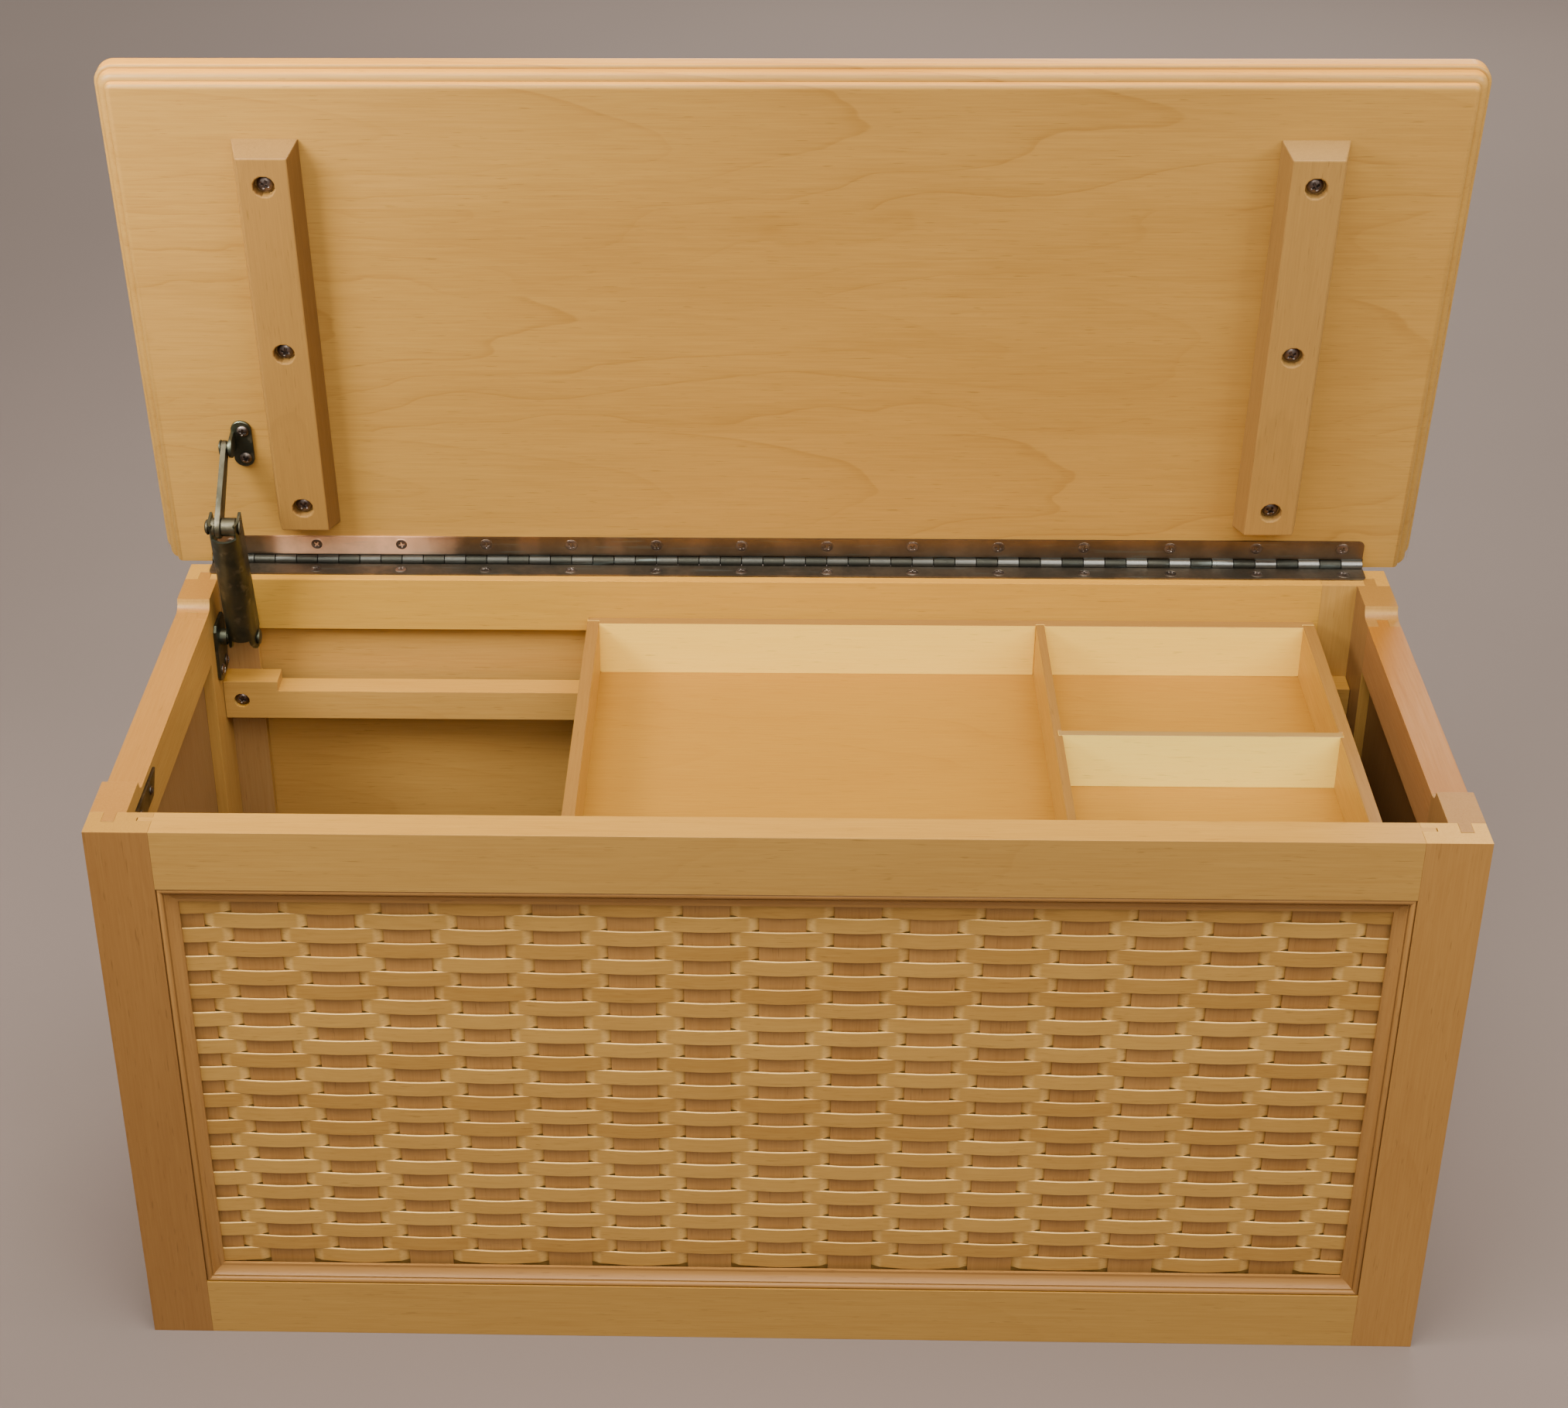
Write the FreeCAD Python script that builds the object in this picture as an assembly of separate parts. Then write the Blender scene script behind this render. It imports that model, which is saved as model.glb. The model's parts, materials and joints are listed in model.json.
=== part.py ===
import FreeCAD, Part
import math
import os

# Storage chest with a woven front panel, a moulded lid on a full-length hinge, a lid stay
# and a sliding tray. Millimetres.
# The origin is on the floor, under the middle of the front bottom rail.
# +X is to the right seen from the front, +Y goes to the back and +Z goes up.
# The lid stands open on its stay, and the tray rests against its right stops.

# Box
chest_width = 711.2
chest_depth = 295.3
chest_height = 338.1
frame_stock = 19.05

# Front frame
front_stile_width = 33.6
front_top_rail = 35.0
front_bottom_rail = 37.0

# Back frame
back_stile_width = 39.5
back_top_rail = 33.2
back_bottom_rail = 37.0

# Side frames
side_stile_width = 38.1
side_top_rail = 36.5
side_bottom_rail = 37.0

# Plain panels of the back and the sides, and the thin lining behind the weave
panel_thickness = 6.35
panel_setback = 6.35
lining_thickness = 3.2
lining_setback = 11.2
groove_depth = 8.0
groove_gap = 0.5

# Tongues that join the side frames to the front and the back
tongue_width = 6.7
tongue_depth = 8.6
tongue_setback = 7.6

# Finger relief, sunk into the top of each side
relief_start = 48.5
relief_length = 202.0
relief_drop = 6.35

# Bottom board
bottom_lift = 9.5
bottom_thickness = 6.35
bottom_let_in = 4.0

# Moulding round the woven panel
moulding_width = 10.0
moulding_back = 6.3
bead_radius = 1.5
bead_margin = 0.2
quirk_depth = 2.2
quirk_width = 0.7
lip_width = 1.5
lip_depth = 4.6
cove_hollow = 0.16

# Woven panel
slat_count = 17
slats_lost = 0.53
slat_share = 0.624
slat_thickness = 2.2
strip_rows = 27
strip_thickness = 1.0
strip_gap = 0.34
strip_grip = 0.8
weave_play = 0.1
weave_setback = 6.6
weave_edge_gap = 0.5

# Tray runners
runner_depth = 16.0
runner_below_top = 61.1
runner_height = 25.0
runner_notch = 6.2
runner_end_gap = 0.25
left_stop_length = 33.0
right_stop_length = 23.0
runner_screw_inset = 10.5
runner_screw_height = 12.0
runner_screw_sunk = 2.0
runner_well_play = 0.5

# Sliding tray
tray_length = 430.0
tray_height = 43.2
tray_wall = 7.0
tray_side_play = 1.3
tray_running_gap = 0.3
tray_stop_gap = 0.25
tray_floor_thickness = 5.0
tray_floor_lift = 5.0
tray_let_in = 3.5
tray_divider = 4.8
divider_let_in = 2.0
long_divider_from_right = 159.4
cross_divider_from_back = 127.4

# Lid
lid_overhang_side = 16.4
lid_overhang_front = 14.0
lid_thickness = 19.05
lid_gap = 4.0
lid_corner_radius = 11.0
lid_past_axis = 2.8
hinge_rebate = 2.0
rebate_end_play = 0.6
lid_open_angle = 82.5
lid_arris = 3.2
lid_fillet = 0.6
lid_swell = 4.0
lid_swell_rise = 4.6
lid_swell_top = 9.0
lid_quirk = 0.8
lid_bead = 1.6
lid_bead_rise = 2.0
lid_top_round = 2.5

# Battens under the lid
batten_inset = 73.6
batten_width = 36.8
batten_thickness = 16.0
batten_back = 26.0
batten_front = 274.2
batten_slope = 4.4
batten_screw_first = 46.0
batten_screw_pitch = 103.6
batten_screws_each = 3
counterbore_radius = 6.0
counterbore_depth = 6.0

# Full-length hinge
hinge_end_gap = 12.7
knuckle_length = 12.7
knuckle_gap = 0.25
knuckle_radius = 3.2
hinge_pin_radius = 1.5
hinge_running_play = 0.05
leaf_width = 15.9
leaf_thickness = 1.2
leaf_clearance = 0.6
leaf_corner = 2.5
hinge_behind_back = 3.2
hinge_screw_pitch = 50.8
hinge_screw_end = 12.7
hinge_screw_line = 10.6

# Lid stay on the left: a parallelogram with the hinge pin
stay_base_forward = 36.5
stay_base_drop = 33.1
stay_lid_reach = 84.0
stay_lid_drop = 10.0
stay_pin_radius = 3.0
stay_running_play = 0.08
stay_open_play = 0.35
stay_plate = 2.0
stay_base_width = 24.0
stay_base_above = 12.0
stay_base_below = 25.0
stay_wall_gap = 0.35
stay_standoff = 4.05
stay_collar_radius = 5.0
housing_width = 18.0
housing_wall = 1.6
housing_back = 8.0
housing_ear = 6.5
housing_foot = 3.0
housing_crown = 8.0
housing_mouth = 5.0
mouth_share = 0.6
barrel_play = 0.3
barrel_start = 13.0
barrel_end = 54.0
barrel_rim = 1.6
barrel_rim_length = 4.0
barrel_sides = 16
round_steps = 7
arm_thickness = 3.0
arm_half_width = 5.5
arm_inset = 4.5
stay_lug = 2.0
stay_lug_gap = 1.3
stay_lug_radius = 6.0
lid_plate_width = 12.0
lid_plate_length = 30.8
lid_plate_behind = 2.9
lid_plate_screw_pitch = 18.0
pin_head_radius = 4.6
pin_head_height = 1.4
stay_far_head = 2.0

# Small catch plate on the left side, near the front
catch_start = 30.0
catch_length = 49.0
catch_height = 12.0
catch_below_top = 9.6
catch_thickness = 1.6
catch_tip = 9.0
catch_screw_inset = 11.0
catch_screw_pitch = 24.0

# Screws: head radius, head height, shank radius, length
hinge_screw = (3.5, 1.2, 1.7, 14.0)
batten_screw = (4.5, 2.4, 2.2, 21.0)
runner_screw = (4.2, 2.4, 2.0, 15.5)
stay_screw = (3.6, 1.6, 1.8, 13.0)
catch_screw = (2.6, 1.1, 1.3, 11.0)
screw_hole_play = 0.1
screw_tip = 0.4
dome_crown = 0.5
dome_shoulder = (0.85, 0.65)
head_sides = 8
shank_sides = 4
hole_sides = 12
pin_sides = 12
knuckle_sides = 8
bore_sides = 4

# Worked-out places
front_y = -frame_stock / 2
back_y = front_y + chest_depth
front_inner_y = front_y + frame_stock
back_inner_y = back_y - frame_stock
side_x = chest_width / 2
inner_x = side_x - frame_stock
side_length = chest_depth - 2 * frame_stock
axis_y = back_y + hinge_behind_back
axis_z = chest_height + lid_gap / 2
lid_bottom = chest_height + lid_gap
lid_back = axis_y + lid_past_axis
opening_x = side_x - front_stile_width
opening_bottom = front_bottom_rail
opening_top = chest_height - front_top_rail
slat_pitch = 2 * opening_x / (slat_count - slats_lost)
slat_width = slat_pitch * slat_share
runner_top = chest_height - runner_below_top
runner_bottom = runner_top - runner_height
ledge_z = runner_top - runner_notch
left_stop_x = -inner_x + left_stop_length
right_stop_x = inner_x - right_stop_length
hinge_length = chest_width - 2 * hinge_end_gap
batten_centre = side_x - batten_inset
lid_moulding = lid_arris + lid_fillet + lid_swell + lid_quirk + lid_bead

parts = {}


def vec(x, y, z):
    return FreeCAD.Vector(x, y, z)


def box(x0, x1, y0, y1, z0, z1):
    return Part.makeBox(x1 - x0, y1 - y0, z1 - z0, vec(x0, y0, z0))


def rod(start, end, radius):
    axis = end - start
    return Part.makeCylinder(radius, axis.Length, start, axis)


def slab(points, push):
    """A closed outline of points pushed along a vector."""
    return Part.Face(Part.makePolygon(points + [points[0]])).extrude(push)


def merge(solids):
    return solids[0].multiFuse(solids[1:]).removeSplitter()


def group(solids):
    return Part.makeCompound(solids)


def turned(shape, start, axis, angle):
    copy = shape.copy()
    copy.rotate(start, axis, angle)
    return copy


def opened(shape):
    """Carry a piece of the lid from its closed place to the open rest pose."""
    return turned(shape, vec(0, axis_y, axis_z), vec(1, 0, 0), -lid_open_angle)


def lid_point(x, reach, drop):
    """A point of the open lid: reach from the hinge axis to the front, drop below the underside."""
    closed = Part.Vertex(vec(x, axis_y - reach, lid_bottom - drop))
    return opened(closed).Point


def corners(sides, radius, height=0.0):
    """The corners of a regular polygon at a height, with a flat side towards -Y."""
    start = math.pi / sides - math.pi / 2
    turns = [start + n * math.tau / sides for n in range(sides)]
    return [vec(radius * math.cos(a), radius * math.sin(a), height) for a in turns]


def skinned(rings):
    """A closed solid with flat sides through rings that have as many points each."""
    outlines = [rings[0], rings[-1]]
    for low, high in zip(rings, rings[1:]):
        for n in range(len(low)):
            outlines.append([low[n - 1], low[n], high[n], high[n - 1]])
    faces = [Part.Face(Part.makePolygon(outline + [outline[0]])) for outline in outlines]
    solid = Part.Solid(Part.makeShell(faces))
    solid.fixTolerance(1e-6)
    if solid.Volume < 0:
        solid.reverse()
    return solid


def faceted(sides, sections):
    """A small turned piece with flat sides, through (radius, height) sections up z."""
    return skinned([corners(sides, radius, height) for radius, height in sections])


def bore(sides, radius, height):
    """The tool for a hole whose flat sides stay clear of a round pin of that radius."""
    return faceted(sides, ((radius / math.cos(math.pi / sides), 0), (radius / math.cos(math.pi / sides), height)))


def aimed(shape, place, direction):
    copy = shape.copy()
    copy.Placement = FreeCAD.Placement(place, FreeCAD.Rotation(vec(0, 0, 1), direction))
    return copy


def screw(size, place, direction, domed=False):
    """A tapered wood screw whose head face is at place and whose tip points along direction."""
    head_radius, head_height, shank_radius, length = size
    tip = (shank_radius * screw_tip, length)
    if domed:
        shoulder = (head_radius * dome_shoulder[0], -head_height * dome_shoulder[1])
        dome = faceted(head_sides, ((head_radius * dome_crown, -head_height), shoulder, (head_radius, 0)))
        solid = merge([dome, faceted(shank_sides, ((shank_radius, 0), tip))])
    else:
        solid = faceted(head_sides, ((head_radius, 0), (shank_radius, head_height), tip))
    return aimed(solid, place, direction)


def frame_sticks(width, stile, top_rail, bottom_rail, setback, thickness):
    """Stiles, grooved rails with stub tenons and a panel: x along, y from the outer face in, z up."""
    g0 = setback
    g1 = setback + thickness
    let_in = groove_depth - groove_gap
    top_z = chest_height - top_rail
    first = box(0, stile, 0, frame_stock, 0, chest_height)
    first = first.cut(box(stile - groove_depth, stile, g0, g1, 0, chest_height))
    last = box(width - stile, width, 0, frame_stock, 0, chest_height)
    last = last.cut(box(width - stile, width - stile + groove_depth, g0, g1, 0, chest_height))
    rails = []
    for low, high, groove in ((top_z, chest_height, top_z), (0, bottom_rail, bottom_rail - groove_depth)):
        rail = box(stile, width - stile, 0, frame_stock, low, high)
        rail = rail.fuse(box(stile - let_in, width - stile + let_in, g0, g1, low, high))
        rails.append(rail.cut(box(0, width, g0, g1, groove, groove + groove_depth)).removeSplitter())
    panel = box(stile - let_in, width - stile + let_in, g0, g1, bottom_rail - let_in, top_z + let_in)
    return {"first": first, "last": last, "top": rails[0], "bottom": rails[1], "panel": panel}


def placed(shape, start, angle):
    copy = shape.copy()
    copy.Placement = FreeCAD.Placement(start, FreeCAD.Rotation(vec(0, 0, 1), angle))
    return copy


def relief_cutter():
    """The sunk stretch of both side tops, with a cove at each end, cut right across the chest."""
    low = chest_height - relief_drop
    y0 = front_y + relief_start
    y1 = y0 + relief_length
    r = relief_drop
    step = r * (1 - math.cos(math.pi / 4))
    top = chest_height
    cover = top + r
    x = -side_x - r
    first = Part.Arc(vec(x, y0, top), vec(x, y0 + step, low + step), vec(x, y0 + r, low)).toShape()
    last = Part.Arc(vec(x, y1 - r, low), vec(x, y1 - step, low + step), vec(x, y1, top)).toShape()
    floor = Part.makeLine(vec(x, y0 + r, low), vec(x, y1 - r, low))
    lid = Part.makePolygon([vec(x, y1, top), vec(x, y1, cover), vec(x, y0, cover), vec(x, y0, top)])
    outline = Part.Wire([first, floor, last] + lid.Edges)
    return Part.Face(outline).extrude(vec(chest_width + 2 * r, 0, 0))


def make_box():
    """Front, back and side frames with their panels, and the bottom board."""
    front = frame_sticks(chest_width, front_stile_width, front_top_rail, front_bottom_rail,
                         lining_setback, lining_thickness)
    back = frame_sticks(chest_width, back_stile_width, back_top_rail, back_bottom_rail,
                        panel_setback, panel_thickness)
    side = frame_sticks(side_length, side_stile_width, side_top_rail, side_bottom_rail,
                        panel_setback, panel_thickness)
    for key, start in (("first", -tongue_depth), ("last", side_length)):
        tongue = box(start, start + tongue_depth, tongue_setback, tongue_setback + tongue_width, 0, chest_height)
        side[key] = side[key].fuse(tongue).removeSplitter()

    let_in = bottom_let_in - groove_gap
    top_z = bottom_lift + bottom_thickness
    board = box(-inner_x - let_in, inner_x + let_in, front_inner_y - let_in, back_inner_y + let_in, bottom_lift, top_z)
    housing = box(-inner_x - bottom_let_in, inner_x + bottom_let_in, front_inner_y - bottom_let_in,
                  back_inner_y + bottom_let_in, bottom_lift, top_z)
    slot_deep = tongue_depth + groove_gap
    slots = [box(x, x + tongue_width, y, y + slot_deep, 0, chest_height)
             for x in (-side_x + tongue_setback, side_x - tongue_setback - tongue_width)
             for y in (front_inner_y - slot_deep, back_inner_y)]
    corner_slots = group(slots)
    relief = relief_cutter()

    left = {"first": "back_stile", "last": "front_stile", "top": "top_rail", "bottom": "bottom_rail", "panel": "panel"}
    right = dict(left, first="front_stile", last="back_stile")
    ends = {"first": "stile_left", "last": "stile_right", "top": "top_rail", "bottom": "bottom_rail", "panel": "lining"}
    rear = {"first": "stile_right", "last": "stile_left", "top": "top_rail", "bottom": "bottom_rail", "panel": "panel"}
    for prefix, sticks, names, start, angle in (
            ("front", front, ends, vec(-side_x, front_y, 0), 0),
            ("back", back, rear, vec(side_x, back_y, 0), 180),
            ("left", side, left, vec(-side_x, back_inner_y, 0), -90),
            ("right", side, right, vec(side_x, front_inner_y, 0), 90)):
        for key, stick in sticks.items():
            piece = placed(stick, start, angle)
            if key != "panel":
                piece = piece.cut(housing)
            if prefix in ("front", "back") and key in ("first", "last"):
                piece = piece.cut(corner_slots)
            if prefix in ("left", "right") and key in ("first", "last", "top"):
                piece = piece.cut(relief)
            parts[prefix + "_" + names[key]] = piece
    parts["bottom_board"] = board


def moulding_run(length):
    """One mitred moulding: x along, y from the front face in, z from the frame edge to the weave."""
    b = bead_radius
    top = bead_margin + b
    bead_end = bead_margin + 2 * b
    cove_start = bead_end + quirk_width
    cove_end = moulding_width - lip_width
    middle_z = (cove_start + cove_end) / 2
    middle_y = (top + lip_depth) / 2 + cove_hollow * (cove_end - cove_start)
    bead = Part.Arc(vec(0, top, bead_margin), vec(0, bead_margin, bead_margin + b), vec(0, top, bead_end)).toShape()
    quirk = Part.makePolygon([vec(0, top, bead_end), vec(0, quirk_depth, bead_end), vec(0, quirk_depth, cove_start),
                              vec(0, top, cove_start)])
    cove = Part.Arc(vec(0, top, cove_start), vec(0, middle_y, middle_z), vec(0, lip_depth, cove_end)).toShape()
    rest = Part.makePolygon([vec(0, lip_depth, cove_end), vec(0, lip_depth, moulding_width),
                             vec(0, moulding_back, moulding_width), vec(0, moulding_back, 0), vec(0, top, 0),
                             vec(0, top, bead_margin)])
    outline = Part.Wire([bead] + quirk.Edges + [cove] + rest.Edges)
    stick = Part.Face(outline).extrude(vec(length, 0, 0))
    far = moulding_width + 1
    push = vec(0, moulding_back + 2, 0)
    for end, way in ((0, 1), (length, -1)):
        stick = stick.cut(slab([vec(end - way, -1, -1), vec(end - way, -1, far), vec(end + way * far, -1, far)], push))
    return stick


def make_mouldings():
    across = moulding_run(2 * opening_x)
    upright = moulding_run(opening_top - opening_bottom)
    for name, stick, start, angle in (
            ("moulding_bottom", across, vec(-opening_x, front_y, opening_bottom), 0),
            ("moulding_top", across, vec(opening_x, front_y, opening_top), 180),
            ("moulding_left", upright, vec(-opening_x, front_y, opening_top), 90),
            ("moulding_right", upright, vec(opening_x, front_y, opening_bottom), -90)):
        piece = stick.copy()
        piece.Placement = FreeCAD.Placement(start, FreeCAD.Rotation(vec(0, 1, 0), angle))
        parts[name] = piece


def make_weave():
    """Upright slats, and flat strips that pass in front of one slat and behind the next."""
    edge = opening_x - weave_edge_gap
    low = opening_bottom + weave_edge_gap
    high = opening_top - weave_edge_gap
    half = slat_count // 2
    front_face = front_y + weave_setback
    slat_face = front_face + strip_thickness + weave_play
    behind = slat_thickness + strip_thickness + 2 * weave_play
    slats = []
    for k in range(-half, half + 1):
        left = max(k * slat_pitch - slat_width / 2, -edge)
        right = min(k * slat_pitch + slat_width / 2, edge)
        slats.append(box(left, right, slat_face, slat_face + slat_thickness, low, high))
    parts["weave_slats"] = group(slats)

    grip = slat_width / 2 + strip_grip
    row_pitch = (opening_top - opening_bottom - 2 * moulding_width) / strip_rows
    strips = []
    for row in range(strip_rows):
        top = opening_top - moulding_width - row * row_pitch
        line = []
        for k in range(-half, half + 1):
            y = front_face if (row + k) % 2 == 0 else front_face + behind
            line.append((max(k * slat_pitch - grip, -edge), y))
            line.append((min(k * slat_pitch + grip, edge), y))
        base = top - row_pitch + strip_gap
        fore = [vec(x, y, base) for x, y in line]
        aft = [vec(x, y + strip_thickness, base) for x, y in reversed(line)]
        strips.append(slab(fore + aft, vec(0, 0, row_pitch - strip_gap)))
    parts["weave_strips"] = group(strips)


def make_runners():
    """Cleats with a long notch in the top for the tray, high at both ends where they stop it."""
    end = inner_x - runner_end_gap
    top = runner_top
    outline = [vec(-end, 0, runner_bottom), vec(end, 0, runner_bottom), vec(end, 0, top), vec(right_stop_x, 0, top),
               vec(right_stop_x, 0, ledge_z), vec(left_stop_x, 0, ledge_z), vec(left_stop_x, 0, top), vec(-end, 0, top)]
    cleat = slab(outline, vec(0, runner_depth, 0))
    head_radius, head_height, _, _ = runner_screw
    sunk = head_height + runner_screw_sunk
    well = faceted(hole_sides, ((head_radius + runner_well_play, 0), (head_radius + runner_well_play, sunk)))
    screws = []
    for name, wall_y, way in (("front_runner", front_inner_y, 1), ("back_runner", back_inner_y, -1)):
        face_y = wall_y + way * runner_depth
        runner = cleat.copy()
        runner.translate(vec(0, min(wall_y, face_y), 0))
        for x in (-inner_x + runner_screw_inset, inner_x - runner_screw_inset):
            z = runner_bottom + runner_screw_height
            seat = vec(x, face_y - way * sunk, z)
            runner = runner.cut(aimed(well, vec(x, face_y, z), vec(0, -way, 0)))
            screws.append(screw(runner_screw, seat, vec(0, -way, 0), domed=True))
        parts[name] = runner
    parts["runner_screws"] = group(screws)


def make_tray():
    """Open tray on the runners: four walls, a grooved-in floor, a long and a cross divider."""
    x1 = right_stop_x - tray_stop_gap
    x0 = x1 - tray_length
    y0 = front_inner_y + tray_side_play
    y1 = back_inner_y - tray_side_play
    z0 = ledge_z + tray_running_gap
    z1 = z0 + tray_height
    w = tray_wall
    floor_low = z0 + tray_floor_lift
    floor_top = floor_low + tray_floor_thickness
    floor = box(x0 + w - tray_let_in, x1 - w + tray_let_in, y0 + w - tray_let_in, y1 - w + tray_let_in,
                floor_low, floor_top)
    left_end = box(x0, x0 + w, y0 + w - tray_let_in, y1 - w + tray_let_in, z0, z1)
    right_end = box(x1 - w, x1, y0 + w - tray_let_in, y1 - w + tray_let_in, z0, z1)
    split_x = x1 - long_divider_from_right
    long_divider = box(split_x - tray_divider, split_x, y0 + w - divider_let_in, y1 - w + divider_let_in,
                       floor_top, z1)
    split_y = y1 - cross_divider_from_back
    cross_divider = box(split_x - divider_let_in, x1 - w + divider_let_in, split_y - tray_divider, split_y,
                        floor_top, z1)
    front_wall = box(x0, x1, y0, y0 + w, z0, z1).cut(group([left_end, right_end]))
    back_wall = box(x0, x1, y1 - w, y1, z0, z1).cut(group([left_end, right_end]))
    parts["tray_front"] = front_wall.cut(floor).cut(long_divider)
    parts["tray_back"] = back_wall.cut(floor).cut(long_divider)
    parts["tray_left_end"] = left_end.cut(floor)
    parts["tray_right_end"] = right_end.cut(floor).cut(cross_divider)
    parts["tray_floor"] = floor
    parts["tray_long_divider"] = long_divider.cut(cross_divider)
    parts["tray_cross_divider"] = cross_divider


def quarter(start, end, hollow):
    """A quarter round from start to end in the plane of x and z, setting off upright where hollow is set."""
    near = 1 - math.cos(math.pi / 4)
    across = near if hollow else 1 - near
    run = end - start
    middle = start + vec(run.x * across, 0, run.z * (1 - across))
    return Part.Arc(start, middle, end).toShape()


def lid_edge():
    """The lid's moulded edge: x outwards from its inner line, z up from the underside."""
    h = lid_thickness
    r = lid_top_round
    arris = vec(lid_arris, 0, lid_arris)
    fillet = arris + vec(lid_fillet, 0, 0)
    swell = fillet + vec(lid_swell, 0, lid_swell_rise)
    swell_top = vec(swell.x, 0, lid_swell_top)
    quirk = swell_top + vec(lid_quirk, 0, 0)
    bead = quirk + vec(lid_bead, 0, lid_bead_rise)
    crown = vec(bead.x, 0, h - r)
    top = vec(bead.x - r, 0, h)
    outline = [quarter(vec(0, 0, 0), arris, False), Part.makeLine(arris, fillet), quarter(fillet, swell, False)]
    outline += Part.makePolygon([swell, swell_top, quirk]).Edges
    outline += [quarter(quirk, bead, False), Part.makeLine(bead, crown), quarter(crown, top, True)]
    outline += Part.makePolygon([top, vec(0, 0, h), vec(0, 0, 0)]).Edges
    return Part.Face(Part.Wire(outline))


def make_lid():
    """Solid lid, moulded at the front and both sides. Its back edge is rebated to clear the hinge's barrel."""
    half = chest_width / 2 + lid_overhang_side
    front = front_y - lid_overhang_front
    m = lid_moulding
    r = lid_corner_radius
    top = lid_bottom + lid_thickness
    edge = lid_edge()
    pieces = [box(-half + m, half - m, front + r, lid_back, lid_bottom, top),
              box(-half + r, half - r, front + m, front + r, lid_bottom, top)]
    for way in (-1, 1):
        corner = vec(way * (half - r), front + r, lid_bottom)
        pieces.append(Part.makeCylinder(r - m, lid_thickness, corner))
        side = placed(edge, vec(way * (half - m), front + r, lid_bottom), 0 if way > 0 else 180)
        pieces.append(side.extrude(vec(0, lid_back - front - r, 0)))
        turn = placed(edge, corner - vec(0, r - m, 0), -90)
        pieces.append(turn.revolve(corner, vec(0, 0, 1), way * 90))
    pieces.append(placed(edge, vec(-half + r, front + m, lid_bottom), -90).extrude(vec(2 * (half - r), 0, 0)))
    lid = merge(pieces)
    for way in (-1, 1):
        x = way * half
        corner = box(min(x, x - way * r), max(x, x - way * r), lid_back - r, lid_back, lid_bottom, top)
        lid = lid.cut(corner.cut(Part.makeCylinder(r, lid_thickness, vec(x - way * r, lid_back - r, lid_bottom))))
    reach = hinge_length / 2 + rebate_end_play
    lid = lid.cut(box(-reach, reach, back_y, lid_back, lid_bottom, lid_bottom + hinge_rebate))
    parts["lid_panel"] = opened(lid)


def make_battens():
    """Cleats under the lid with sloping sides and ends, their screws sunk in counterbores."""
    bottom = lid_bottom - batten_thickness
    well = faceted(hole_sides, ((counterbore_radius, 0), (counterbore_radius, counterbore_depth)))
    screws = []

    def ring(centre, inset, height):
        x0, x1 = centre - batten_width / 2 + inset, centre + batten_width / 2 - inset
        y0, y1 = axis_y - batten_front + inset, axis_y - batten_back - inset
        return [vec(x0, y0, height), vec(x1, y0, height), vec(x1, y1, height), vec(x0, y1, height)]

    for name, centre in (("lid_batten_left", -batten_centre), ("lid_batten_right", batten_centre)):
        bar = skinned([ring(centre, batten_slope, bottom), ring(centre, 0, lid_bottom)])
        for n in range(batten_screws_each):
            y = axis_y - batten_screw_first - n * batten_screw_pitch
            seat = vec(centre, y, bottom + counterbore_depth)
            bar = bar.cut(aimed(well, vec(centre, y, bottom), vec(0, 0, 1)))
            screws.append(opened(screw(batten_screw, seat, vec(0, 0, 1), domed=True)))
        parts[name] = opened(bar)
    parts["batten_screws"] = group(screws)


def hinge_leaf(first, height, outer):
    """One leaf with every second knuckle. height is its underside, outer is +1 where it faces up."""
    x0 = -hinge_length / 2
    count = round(hinge_length / knuckle_length)
    pitch = hinge_length / count
    long = pitch - knuckle_gap
    rim = knuckle_radius + leaf_clearance
    flat = box(x0, -x0, axis_y - leaf_width, axis_y - rim, height, height + leaf_thickness)
    ends = [e for e in flat.Edges if e.BoundBox.YMax < axis_y - leaf_width + leaf_corner
            and e.BoundBox.XLength < leaf_corner]
    flat = flat.makeFillet(leaf_corner, [e for e in ends if e.BoundBox.ZLength > leaf_thickness / 2])
    roll = faceted(knuckle_sides, ((knuckle_radius, 0), (knuckle_radius, long)))
    hollow = bore(bore_sides, hinge_pin_radius + hinge_running_play, long)
    knuckles = []
    for n in range(first, count, 2):
        left = x0 + n * pitch + knuckle_gap / 2
        tab = box(left, left + long, axis_y - rim, axis_y - knuckle_radius / 2, height, height + leaf_thickness)
        start = vec(left, axis_y, axis_z)
        knuckles.append(tab.fuse(aimed(roll, start, vec(1, 0, 0))).cut(aimed(hollow, start, vec(1, 0, 0))))
    leaf = merge([flat] + knuckles)
    head_radius, head_height, shank_radius, _ = hinge_screw
    sink = faceted(head_sides, ((head_radius + screw_hole_play, 0), (shank_radius + screw_hole_play, head_height)))
    face = height + leaf_thickness if outer > 0 else height
    sinks = [aimed(sink, vec(x, axis_y - hinge_screw_line, face), vec(0, 0, -outer)) for x in hinge_screw_places()]
    return leaf.cut(group(sinks))


def hinge_screw_places():
    spaces = int(round((hinge_length - 2 * hinge_screw_end) / hinge_screw_pitch, 3))
    return [(n - spaces / 2) * hinge_screw_pitch for n in range(spaces + 1)]


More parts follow.
